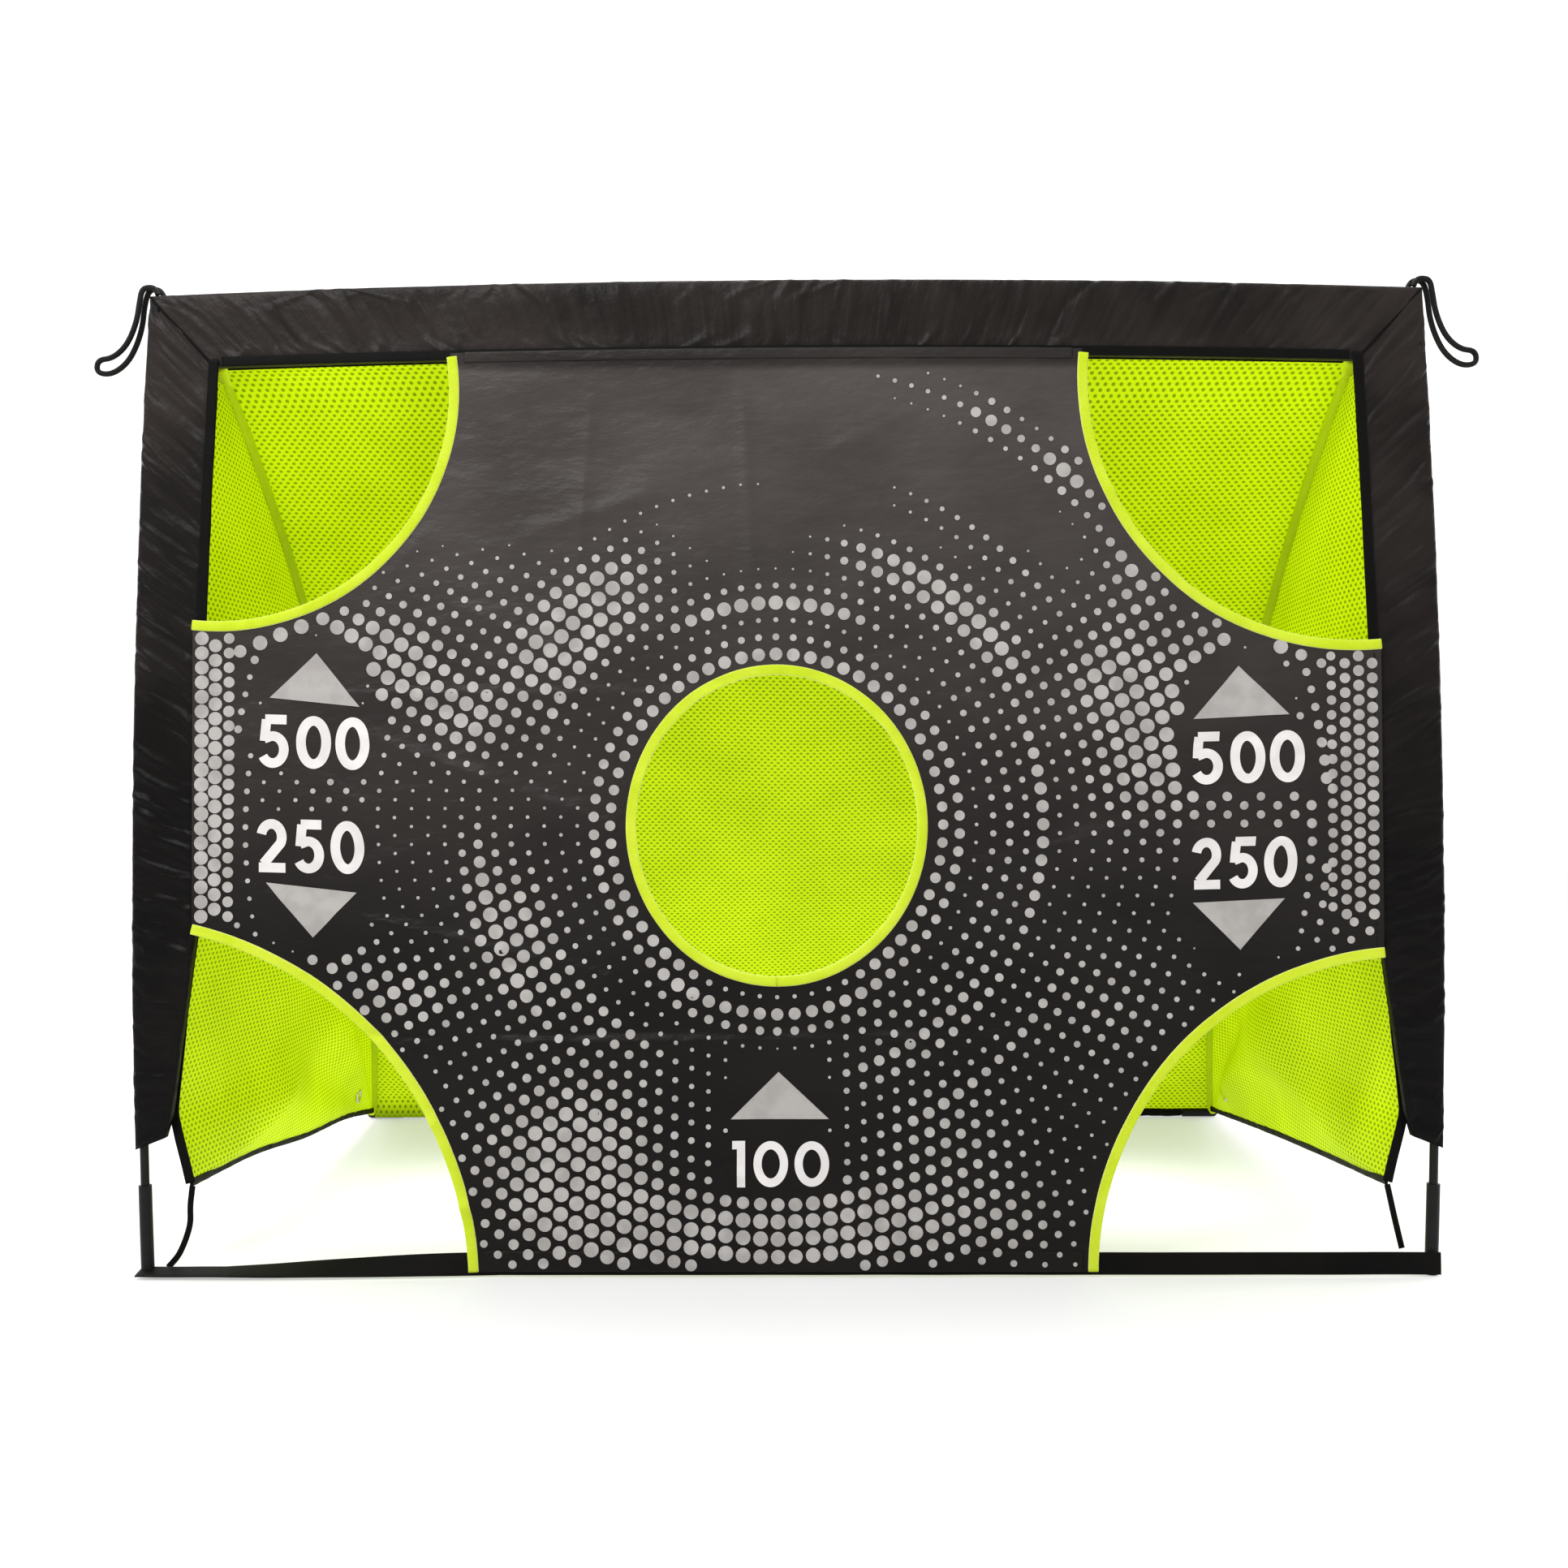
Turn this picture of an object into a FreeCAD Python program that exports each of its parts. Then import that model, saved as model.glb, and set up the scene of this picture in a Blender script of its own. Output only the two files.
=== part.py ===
"""Folding garden goal with a pull-off target sheet.

A front frame of sleeved fibreglass rods carries the target sheet. A net frame of two stays and a ground bar
is hinged to its top corners. +X is right, +Y runs from the front to the back of the net, and +Z is up. The
origin is on the ground in the middle of the base. Millimetres.
"""
import math
import os

import FreeCAD
import Part

V = FreeCAD.Vector

# Overall size
DEPTH = 750.0             # front frame's plane to the rear ground bar
FRONT_PROUD = 12.4        # binding tape's face in front of the front frame's plane
REAR_PROUD = 6.5          # rear corner piece behind the ground bar's axis
FRONT_Y = (FRONT_PROUD - REAR_PROUD - DEPTH) / 2.0
REAR_Y = FRONT_Y + DEPTH

# Rods and the fittings on them
ROD_R = 4.0
SOCKET_R = 4.05           # bore of every fitting that takes a rod
FITTING_R = 6.0
FERRULE_R = 5.4
FERRULE_HALF = 35.0
CORNER_X = 597.5          # top corner of the front frame, on the rods' axes
CORNER_Z = 921.5
CROSSBAR_RISE = 11.5      # the crossbar bows up
UPRIGHT_MID_X = 611.5     # the uprights bow outwards
UPRIGHT_MID_Z = 460.0
FOOT_X = 603.0
FOOT_TUBE_TOP = 84.0
HUB_SOCKET = 48.0
ROD_END_GAP = 8.0         # from a corner's centre to the end of a rod in it

# Fold hinge, between the front frame's hubs and the stays
HINGE_X = 556.0
HINGE_Y = FRONT_Y + 18.0
HINGE_Z = 890.0
EYE_THICK = 6.0
EAR_THICK = 3.2
EAR_GAP = 0.3
PIN_R = 2.5
PIN_BORE_R = 2.55
EYE_R = 6.0

# Stays and ground bar of the net frame
REAR_X = 600.0
BAR_Z = 6.5
REAR_CORNER_R = 6.5
STAY_SAGITTA = 45.0       # the stays bow up and back
STAY_INWARD = 35.0        # and the net pulls them in
TUNNEL_R = 6.0
HEM_TUBE_R = 6.3

# Sleeves on the front frame
SLEEVE_HALF = 7.0
SLEEVE_EDGE = 7.0         # rod axis to the sleeve's outer edge
SLEEVE_BOTTOM_Z = 118.0
INNER_TOP = (541.0, 860.0)
INNER_UPPER = (552.5, 600.0)
INNER_LOWER = (557.0, 330.0)
INNER_BEND = (580.0, 150.0)
INNER_BOTTOM = (586.0, 129.0)
CHANNEL_R = 4.3           # clearance round a rod inside a sleeve
TAPE_HALF_WIDTH = 7.0
TAPE_THICK = 1.5
TIE_X = 563.0
TIE_Z = 84.0

# Target sheet
SHEET_HALF_W = 559.0
SHEET_BOTTOM = 5.0
SHEET_TOP = 867.0
SHEET_FRONT = FRONT_Y - 11.4
SHEET_BACK = FRONT_Y - 10.2
BINDING_WIDTH = 10.5
HEM_HEIGHT = 19.0
TOP_HEM_HEIGHT = 10.0
HOLE_X = -8.0
HOLE_Z = 422.0
HOLE_HALF_W = 132.0
HOLE_HALF_H = 141.5
CUT_OUTS = {              # corner cut-outs: centre x, centre z and radius of the opening
    "upper_left": (-535.0, 835.0, 218.5),
    "upper_right": (535.0, 842.0, 248.5),
    "lower_left": (-638.0, -10.0, 340.5),
    "lower_right": (584.0, 4.0, 293.5),
}

# Webbing, hems and cords
STRAP_HEIGHT = 21.0
STRAP_THICK = 1.6
STRAP_CLEAR = 0.7         # foot tube to the webbing round it
NET_THICK = 1.5
HEM_THICK = 2.4
TIE_WIDTH = 6.0
LOOP_R = 2.6


def save(shape, name):
    """Writes one sub-part."""
    if not shape.isValid():
        raise ValueError(name + " is not a valid shape")
    shape.exportStep("parts/" + name + ".step")


def save_pair(shape, name):
    """Writes a right-hand sub-part and its mirror image for the left."""
    save(shape, name + "_right")
    save(shape.mirror(V(0, 0, 0), V(1, 0, 0)), name + "_left")


def box(x0, x1, y0, y1, z0, z1):
    return Part.makeBox(x1 - x0, y1 - y0, z1 - z0, V(x0, y0, z0))


def arc_piece(start, middle, end, from_mm=0.0, to_mm=0.0):
    """The edge of the arc through three points, with from_mm and to_mm taken off its two ends."""
    whole = Part.Arc(start, middle, end).toShape()
    circle = whole.Curve
    first, last = whole.ParameterRange
    return circle.toShape(first + from_mm / circle.Radius, last - to_mm / circle.Radius)


def pipe(path, radius):
    """A round bar along an edge or a smooth wire."""
    wire = path if path.ShapeType == "Wire" else Part.Wire([path])
    first = wire.OrderedEdges[0]
    start = first.valueAt(first.FirstParameter)
    tangent = first.tangentAt(first.FirstParameter)
    if first.Orientation == "Reversed":
        start = first.valueAt(first.LastParameter)
        tangent = first.tangentAt(first.LastParameter) * -1.0
    ring = Part.Wire([Part.makeCircle(radius, start, tangent)])
    return wire.makePipeShell([ring], True, False)


def hollow(path, outer, inner):
    return pipe(path, outer).cut(pipe(path, inner))


def plate(edges, y0, y1):
    """Extrudes a closed outline in the XZ plane from y0 to y1. Its edges are drawn at y = 0."""
    face = Part.Face(Part.Wire(Part.__sortEdges__(edges)))
    moved = face.translated(V(0, y0, 0))
    return moved.extrude(V(0, y1 - y0, 0))


def line(a, b):
    return Part.makeLine(V(a[0], 0, a[1]), V(b[0], 0, b[1]))


def arc(a, b, c):
    return Part.Arc(V(a[0], 0, a[1]), V(b[0], 0, b[1]), V(c[0], 0, c[1])).toShape()


def outline(points):
    return [line(a, b) for a, b in zip(points, points[1:] + points[:1])]


def disc(x, z, half_w, half_h, y0, y1):
    """An upright round or oval disc from y0 to y1."""
    if abs(half_w - half_h) < 1e-6:
        return Part.makeCylinder(half_w, y1 - y0, V(x, y0, z), V(0, 1, 0))
    if half_w > half_h:
        oval = Part.Ellipse(V(x + half_w, y0, z), V(x, y0, z + half_h), V(x, y0, z))
    else:
        oval = Part.Ellipse(V(x, y0, z + half_h), V(x - half_w, y0, z), V(x, y0, z))
    return Part.Face(Part.Wire([oval.toShape()])).extrude(V(0, y1 - y0, 0))


def strip(start, end, height, thick):
    """A flat strip on edge from start to end, as high as height in the upright plane through both."""
    run = end - start
    along = V(run)
    along.normalize()
    side = V(-along.y, along.x, 0)
    side.normalize()
    up = along.cross(side)
    corners = [
        start + side * (a * thick / 2.0) + up * (b * height / 2.0)
        for a, b in ((-1, -1), (1, -1), (1, 1), (-1, 1))
    ]
    return Part.Face(Part.makePolygon(corners + corners[:1])).extrude(run)


def rounded_path(points, share=0.45):
    """Straight runs joined by tangent arcs, each as large as its two runs allow. Prints the radii."""
    edges = []
    radii = []
    begin = points[0]
    for before, corner, after in zip(points, points[1:], points[2:]):
        back = before - corner
        ahead = after - corner
        turn = math.pi - back.getAngle(ahead)
        trim = share * min(back.Length, ahead.Length)
        radii.append(trim / math.tan(turn / 2.0))
        back.normalize()
        ahead.normalize()
        inward = back + ahead
        inward.normalize()
        enter = corner + back * trim
        leave = corner + ahead * trim
        to_centre = radii[-1] / math.cos(turn / 2.0)
        middle = corner + inward * (to_centre - radii[-1])
        edges.append(Part.makeLine(begin, enter))
        edges.append(Part.Arc(enter, middle, leave).toShape())
        begin = leave
    edges.append(Part.makeLine(begin, points[-1]))
    print("radii", [round(r, 1) for r in radii])
    return Part.Wire(edges)


# ---------------------------------------------------------------- routes shared by several sub-parts
CROSSBAR = (V(-CORNER_X, FRONT_Y, CORNER_Z), V(0, FRONT_Y, CORNER_Z + CROSSBAR_RISE),
            V(CORNER_X, FRONT_Y, CORNER_Z))
UPRIGHT = (V(CORNER_X, FRONT_Y, CORNER_Z), V(UPRIGHT_MID_X, FRONT_Y, UPRIGHT_MID_Z), V(FOOT_X, FRONT_Y, 0))
HINGE = V(HINGE_X, HINGE_Y, HINGE_Z)
REAR_CORNER = V(REAR_X, REAR_Y, BAR_Z)
CHORD = REAR_CORNER - HINGE
CHORD_YZ = math.hypot(CHORD.y, CHORD.z)
OUTWARD = V(0, -CHORD.z / CHORD_YZ, CHORD.y / CHORD_YZ)   # square to the stay, up and back
STAY_MIDDLE = HINGE + CHORD * 0.5 + OUTWARD * STAY_SAGITTA - V(STAY_INWARD, 0, 0)
STAY = (HINGE, STAY_MIDDLE, REAR_CORNER)


def arc_length(points):
    return Part.Arc(*points).toShape().Length


def upright_edge_x(z, offset):
    """X of the right upright's axis at height z, moved outwards by offset."""
    circle = Part.Arc(*UPRIGHT).toShape().Curve
    rise = z - circle.Center.z
    return circle.Center.x + math.sqrt(circle.Radius ** 2 - rise ** 2) + offset


# ---------------------------------------------------------------- front frame: rods and fittings
def crossbar():
    half = arc_length(CROSSBAR) / 2.0
    rod = pipe(arc_piece(*CROSSBAR, from_mm=half + 0.5, to_mm=ROD_END_GAP), ROD_R)
    save_pair(rod, "crossbar_rod")
    middle = arc_piece(*CROSSBAR, from_mm=half - FERRULE_HALF, to_mm=half - FERRULE_HALF)
    save(hollow(middle, FERRULE_R, SOCKET_R), "crossbar_ferrule")


def uprights():
    foot_end = arc_length(UPRIGHT) - FOOT_TUBE_TOP
    rod = pipe(arc_piece(*UPRIGHT, from_mm=ROD_END_GAP, to_mm=10.0), ROD_R)
    save_pair(rod, "upright_rod")
    bore = pipe(arc_piece(*UPRIGHT, from_mm=foot_end - 5.0, to_mm=9.5), SOCKET_R)
    tube = pipe(arc_piece(*UPRIGHT, from_mm=foot_end, to_mm=-5.0), FITTING_R)
    ground = box(FOOT_X - 30, FOOT_X + 30, FRONT_Y - 20, FRONT_Y + 20, 0, FOOT_TUBE_TOP + 20)
    save_pair(tube.cut(bore).common(ground), "foot_tube")


def hub_body(grow=0.0):
    """The top corner hub without its bores, made larger all over by grow."""
    across = arc_piece(*CROSSBAR, from_mm=arc_length(CROSSBAR) - HUB_SOCKET - grow)
    down = arc_piece(*UPRIGHT, to_mm=arc_length(UPRIGHT) - HUB_SOCKET - grow)
    body = pipe(across, FITTING_R + grow).fuse(pipe(down, FITTING_R + grow))
    body = body.fuse(Part.makeSphere(FITTING_R + grow, UPRIGHT[0]))
    arm_half = EYE_THICK / 2.0 + grow
    arm = box(HINGE_X - arm_half, HINGE_X + arm_half, FRONT_Y - 5 - grow, FRONT_Y + 5 + grow,
              HINGE_Z - EYE_R - grow, CORNER_Z)
    lug = box(HINGE_X - arm_half, HINGE_X + arm_half, FRONT_Y, HINGE_Y,
              HINGE_Z - EYE_R - grow, HINGE_Z + EYE_R + grow)
    eye = Part.makeCylinder(EYE_R + grow, 2.0 * arm_half, V(HINGE_X - arm_half, HINGE_Y, HINGE_Z), V(1, 0, 0))
    return body.fuse([arm, lug, eye])


def hinge_bore(radius, half_length):
    return Part.makeCylinder(radius, 2.0 * half_length, V(HINGE_X - half_length, HINGE_Y, HINGE_Z), V(1, 0, 0))


def hubs():
    across = arc_piece(*CROSSBAR, from_mm=arc_length(CROSSBAR) / 2.0, to_mm=ROD_END_GAP - 0.5)
    down = arc_piece(*UPRIGHT, from_mm=ROD_END_GAP - 0.5, to_mm=arc_length(UPRIGHT) / 2.0)
    hub = hub_body().cut([pipe(across, SOCKET_R), pipe(down, SOCKET_R), hinge_bore(PIN_R, 20.0)])
    save_pair(hub, "corner_hub")
    pin_half = EYE_THICK / 2.0 + EAR_GAP + EAR_THICK + 1.0
    save_pair(hinge_bore(PIN_R, pin_half), "hinge_pin")


# ---------------------------------------------------------------- front frame: fabric and webbing
def sleeves():
    corner = (CORNER_X + SLEEVE_EDGE, CORNER_Z + SLEEVE_EDGE)
    left_corner = (-corner[0], corner[1])
    left_inner = (-INNER_TOP[0], INNER_TOP[1])
    crown = (0.0, CORNER_Z + CROSSBAR_RISE + SLEEVE_EDGE)
    low, high = FRONT_Y - SLEEVE_HALF, FRONT_Y + SLEEVE_HALF
    hub = hub_body(0.25)
    left_hub = hub.mirror(V(0, 0, 0), V(1, 0, 0))
    half = arc_length(CROSSBAR) / 2.0
    ferrule = arc_piece(*CROSSBAR, from_mm=half - FERRULE_HALF - 1, to_mm=half - FERRULE_HALF - 1)

    top = plate([arc(left_corner, crown, corner), line(corner, INNER_TOP), line(INNER_TOP, left_inner),
                 line(left_inner, left_corner)], low, high)
    top = top.cut([pipe(arc_piece(*CROSSBAR), CHANNEL_R), pipe(ferrule, FERRULE_R + 0.25), hub, left_hub])
    save(top, "sleeve_top")

    middle = (upright_edge_x(520.0, SLEEVE_EDGE), 520.0)
    bottom = (upright_edge_x(SLEEVE_BOTTOM_Z, SLEEVE_EDGE), SLEEVE_BOTTOM_Z)
    side = plate([arc(corner, middle, bottom), line(bottom, INNER_BOTTOM), line(INNER_BOTTOM, INNER_BEND),
                  line(INNER_BEND, INNER_LOWER), arc(INNER_LOWER, INNER_UPPER, INNER_TOP),
                  line(INNER_TOP, corner)], low, high)
    side = side.cut([pipe(arc_piece(*UPRIGHT), CHANNEL_R), hub])
    save_pair(side, "sleeve")


def edge_band(points, width_in, width_out):
    """Outline of a band that follows points down the sleeve's inner edge."""
    inner = [(x - width_in, z) for x, z in points]
    outer = [(x + width_out, z) for x, z in reversed(points)]
    return outline(inner + outer)


def edge_tapes():
    """Loop tape on the front of the sleeves' inner edges, and the net's own binding behind them."""
    w = TAPE_HALF_WIDTH
    front = FRONT_Y - SLEEVE_HALF - 0.2
    back = FRONT_Y + SLEEVE_HALF + 0.2
    top_z = INNER_TOP[1]
    upper = [INNER_TOP, INNER_UPPER, INNER_LOWER]
    loop_side = plate(edge_band(upper + [(570.0, 232.0)], w, w), front - TAPE_THICK, front)
    save_pair(loop_side, "loop_tape")
    span = INNER_TOP[0] - w - 0.3
    save(box(-span, span, front - TAPE_THICK, front, top_z - w, top_z + w), "loop_tape_top")
    net_side = plate(edge_band(upper + [INNER_BEND, (TIE_X + w / 2.0, TIE_Z)], w, w), back, back + TAPE_THICK)
    save_pair(net_side, "net_binding")
    save(box(-span, span, back, back + TAPE_THICK, top_z - w, top_z + w), "net_binding_top")


def ground_strap():
    """Webbing on edge between the feet, looped round each foot tube and sewn back on itself."""
    inner = FITTING_R + STRAP_CLEAR
    outer = inner + STRAP_THICK
    reach = upright_edge_x(STRAP_HEIGHT / 2.0, 0.0)
    strap = box(-reach, reach, FRONT_Y - outer, FRONT_Y - inner, 0, STRAP_HEIGHT)
    for side in (-1, 1):
        x = side * reach
        ring = Part.makeCylinder(outer, STRAP_HEIGHT, V(x, FRONT_Y, 0))
        ring = ring.cut(Part.makeCylinder(inner, STRAP_HEIGHT, V(x, FRONT_Y, 0)))
        far, near = sorted((x, x + side * 20.0))
        ring = ring.common(box(far, near, FRONT_Y - 20, FRONT_Y + 20, 0, STRAP_HEIGHT))
        far, near = sorted((x, x - side * 36.0))
        turned_back = box(far, near, FRONT_Y + inner, FRONT_Y + outer, 0, STRAP_HEIGHT)
        strap = strap.fuse([ring, turned_back])
    save(strap.removeSplitter(), "ground_strap")


def foot_ties():
    """Flat tapes from the hem's front ends down to the ground strap, one taut and one slack."""
    y = FRONT_Y + SLEEVE_HALF + 0.2 + TAPE_THICK / 2.0
    top = V(TIE_X + 3.5, y, TIE_Z - 3.6)
    save(strip(top, V(580.0, y + 1.2, 22.5), TIE_WIDTH, 1.0), "foot_tie_right")
    outer = [(-566.0, 80.4), (-569.5, 47.0), (-577.0, 20.0), (-590.0, 3.0)]
    inner = [(x + TIE_WIDTH, z) for x, z in outer[:-1]] + [(-586.0, 3.0)]
    save(plate(outline(outer + inner[::-1]), y + 1.0, y + 2.0), "foot_tie_left")


def corner_loops():
    """Elastic cord sewn into each top corner: up over the hub, down the outside, and back."""
    y = FRONT_Y
    route = [
        V(596.5, y - 3.0, 929.8), V(598.3, y - 3.0, 935.4), V(604.0, y - 3.0, 937.4), V(612.0, y - 3.0, 935.4),
        V(614.2, y - 3.0, 922.0), V(617.0, y - 3.0, 903.0), V(626.0, y - 2.8, 881.5), V(640.0, y - 2.0, 869.5),
        V(654.8, y - 1.0, 868.4), V(656.8, y + 1.0, 856.4), V(642.5, y + 2.0, 855.0), V(628.0, y + 2.8, 866.0),
        V(619.0, y + 3.0, 883.0), V(613.5, y + 3.0, 902.0), V(611.8, y + 3.0, 922.0), V(608.0, y + 3.0, 935.6),
        V(601.0, y + 3.0, 937.4), V(595.3, y + 3.0, 934.9), V(593.2, y + 3.0, 929.9),
    ]
    save_pair(pipe(rounded_path(route), LOOP_R), "corner_loop")


# ---------------------------------------------------------------- target sheet
def opening(name, grow, y0, y1):
    """The disc of one corner cut-out, or of the centre hole, made larger by grow."""
    if name == "centre":
        return disc(HOLE_X, HOLE_Z, HOLE_HALF_W + grow, HOLE_HALF_H + grow, y0, y1)
    x, z, radius = CUT_OUTS[name]
    return disc(x, z, radius + grow, radius + grow, y0, y1)


def target_sheet():
    names = list(CUT_OUTS) + ["centre"]
    cutters = [opening(name, 0.0, SHEET_FRONT - 5, SHEET_BACK + 5) for name in names]
    whole = box(-SHEET_HALF_W, SHEET_HALF_W, SHEET_FRONT, SHEET_BACK, SHEET_BOTTOM, SHEET_TOP)
    save(whole.cut(cutters), "target_sheet")

    bounds = box(-SHEET_HALF_W, SHEET_HALF_W, SHEET_FRONT - 2, SHEET_BACK + 2, SHEET_BOTTOM, SHEET_TOP)
    slot_front, slot_back = SHEET_FRONT - 0.05, SHEET_BACK + 0.05
    for name in names:
        tape = opening(name, BINDING_WIDTH, SHEET_FRONT - 1.0, SHEET_BACK + 1.0)
        tape = tape.cut(opening(name, -0.8, SHEET_FRONT - 5, SHEET_BACK + 5))
        slot = opening(name, BINDING_WIDTH + 5, slot_front, slot_back).cut(
            opening(name, -0.05, slot_front - 1, slot_back + 1))
        save(tape.cut(slot).common(bounds), "binding_" + name)


def sheet_hems():
    """Double hems on the front of the sheet, and the hook tapes on its back."""
    front = SHEET_FRONT - 1.0
    save(box(-285, 278, front, SHEET_FRONT, SHEET_BOTTOM, SHEET_BOTTOM + HEM_HEIGHT), "sheet_bottom_hem")
    save(box(-304, 274, front, SHEET_FRONT, SHEET_TOP - TOP_HEM_HEIGHT, SHEET_TOP), "sheet_top_hem")
    tape_back = FRONT_Y - SLEEVE_HALF - 0.2 - TAPE_THICK
    upper = (INNER_UPPER[0], 575.0)
    hook_side = plate(edge_band([upper, (INNER_LOWER[0] - 1.0, 352.0)], TAPE_HALF_WIDTH, 2.0),
                      SHEET_BACK, tape_back)
    save_pair(hook_side, "hook_tape")
    top_z = INNER_TOP[1]
    save(box(-300, 262, SHEET_BACK, tape_back, top_z - TAPE_HALF_WIDTH, top_z + TAPE_HALF_WIDTH - 1.0),
         "hook_tape_top")
    strap_front = FRONT_Y - FITTING_R - STRAP_CLEAR - STRAP_THICK
    save(box(-280, 270, SHEET_BACK, strap_front, 7.0, 19.0), "hook_tape_bottom")


# ---------------------------------------------------------------- net frame
def stay_direction_angle():
    """Angle of the stay's first stretch below the horizontal, in degrees, seen from the side."""
    edge = Part.Arc(*STAY).toShape()
    tangent = edge.tangentAt(edge.FirstParameter)
    return math.degrees(math.atan2(-tangent.z, tangent.y))


def stay_forks():
    """Forked end of each stay: two ears on the hinge pin and a socket for the rod."""
    ear_reach = 15.0
    angle = stay_direction_angle()
    inner = EYE_THICK / 2.0 + EAR_GAP
    outer = inner + EAR_THICK
    parts = []
    for low in (-outer, inner):
        parts.append(box(low, low + EAR_THICK, 0, ear_reach, -EYE_R, EYE_R))
        parts.append(Part.makeCylinder(EYE_R, EAR_THICK, V(low, 0, 0), V(1, 0, 0)))
    parts.append(box(-outer, outer, EYE_R + 1.5, ear_reach, -EYE_R, EYE_R))
    ears = parts[0].fuse(parts[1:])
    ears.rotate(V(0, 0, 0), V(1, 0, 0), -angle)
    ears.translate(HINGE)
    length = arc_length(STAY)
    socket = pipe(arc_piece(*STAY, from_mm=ear_reach - 3.0, to_mm=length - 52.0), FITTING_R)
    bore = pipe(arc_piece(*STAY, from_mm=17.5, to_mm=length - 60.0), SOCKET_R)
    save_pair(ears.fuse(socket).cut([bore, hinge_bore(PIN_BORE_R, 20.0)]), "stay_fork")


def stays():
    length = arc_length(STAY)
    save_pair(pipe(arc_piece(*STAY, from_mm=18.0, to_mm=ROD_END_GAP), ROD_R), "stay_rod")
    tunnel = arc_piece(*STAY, from_mm=53.0, to_mm=46.0)
    save_pair(hollow(tunnel, TUNNEL_R, CHANNEL_R), "stay_tunnel")
    corner = Part.makeSphere(REAR_CORNER_R, REAR_CORNER)
    corner = corner.fuse(pipe(arc_piece(*STAY, from_mm=length - 44.0), REAR_CORNER_R))
    along = V(-1, 0, 0)
    corner = corner.fuse(Part.makeCylinder(REAR_CORNER_R, 44.0, REAR_CORNER, along))
    stay_bore = pipe(arc_piece(*STAY, from_mm=length - 60.0, to_mm=ROD_END_GAP - 0.5), SOCKET_R)
    bar_bore = Part.makeCylinder(SOCKET_R, 60.0, REAR_CORNER + along * (ROD_END_GAP - 0.5), along)
    save_pair(corner.cut([stay_bore, bar_bore]), "rear_corner")


def ground_bar():
    rod_length = REAR_X - ROD_END_GAP - 0.5
    save_pair(Part.makeCylinder(ROD_R, rod_length, V(0.5, REAR_Y, BAR_Z), V(1, 0, 0)), "ground_bar_rod")
    middle = Part.makeLine(V(-FERRULE_HALF, REAR_Y, BAR_Z), V(FERRULE_HALF, REAR_Y, BAR_Z))
    save(hollow(middle, FERRULE_R, SOCKET_R), "ground_bar_ferrule")
    hem_half = REAR_X - 46.0
    hem = Part.makeLine(V(-hem_half, REAR_Y, BAR_Z), V(hem_half, REAR_Y, BAR_Z))
    save(hollow(hem, HEM_TUBE_R, FERRULE_R + 0.2), "ground_bar_hem")


def stay_plane_point(share, x, lift):
    """A point beside the stay's chord: share of the way along it, at x, and lift above it."""
    on_chord = HINGE + CHORD * share
    return V(x, on_chord.y, on_chord.z) + OUTWARD * lift


def back_net():
    """The curved panel between the stays, from below the hinges to the ground bar."""
    profile = (V(0, HINGE_Y, HINGE_Z), V(0, STAY_MIDDLE.y, STAY_MIDDLE.z), V(0, REAR_Y, BAR_Z))
    circle = Part.Arc(*profile).toShape().Curve
    first, last = Part.Arc(*profile).toShape().ParameterRange
    first += 26.0 / circle.Radius
    last -= 14.0 / circle.Radius
    edges = []
    ends = []
    for radius in (circle.Radius - NET_THICK / 2.0, circle.Radius + NET_THICK / 2.0):
        ring = Part.Circle(circle.Center, circle.Axis, radius)
        ring.XAxis = circle.XAxis
        edge = ring.toShape(first, last)
        edges.append(edge)
        ends.append((edge.valueAt(edge.FirstParameter), edge.valueAt(edge.LastParameter)))
    edges.append(Part.makeLine(ends[0][0], ends[1][0]))
    edges.append(Part.makeLine(ends[0][1], ends[1][1]))
    band = Part.Face(Part.Wire(Part.__sortEdges__(edges))).translated(V(-REAR_X, 0, 0))
    band = band.extrude(V(2.0 * REAR_X, 0, 0))
    clear = TUNNEL_R + 1.5
    drop = 100.0
    sides = []
    for side in (-1, 1):
        sides.append((stay_plane_point(0.0, side * (HINGE_X - clear), -drop),
                      stay_plane_point(0.5, side * (STAY_MIDDLE.x - clear), -drop),
                      stay_plane_point(1.0, side * (REAR_X - clear), -drop)))
    border = [Part.Arc(*sides[0]).toShape(), Part.Arc(*sides[1]).toShape(),
              Part.makeLine(sides[0][0], sides[1][0]), Part.makeLine(sides[0][2], sides[1][2])]
    prism = Part.Face(Part.Wire(Part.__sortEdges__(border))).extrude(OUTWARD * (2.0 * drop + 100.0))
    save(band.common(prism), "back_net")


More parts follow.
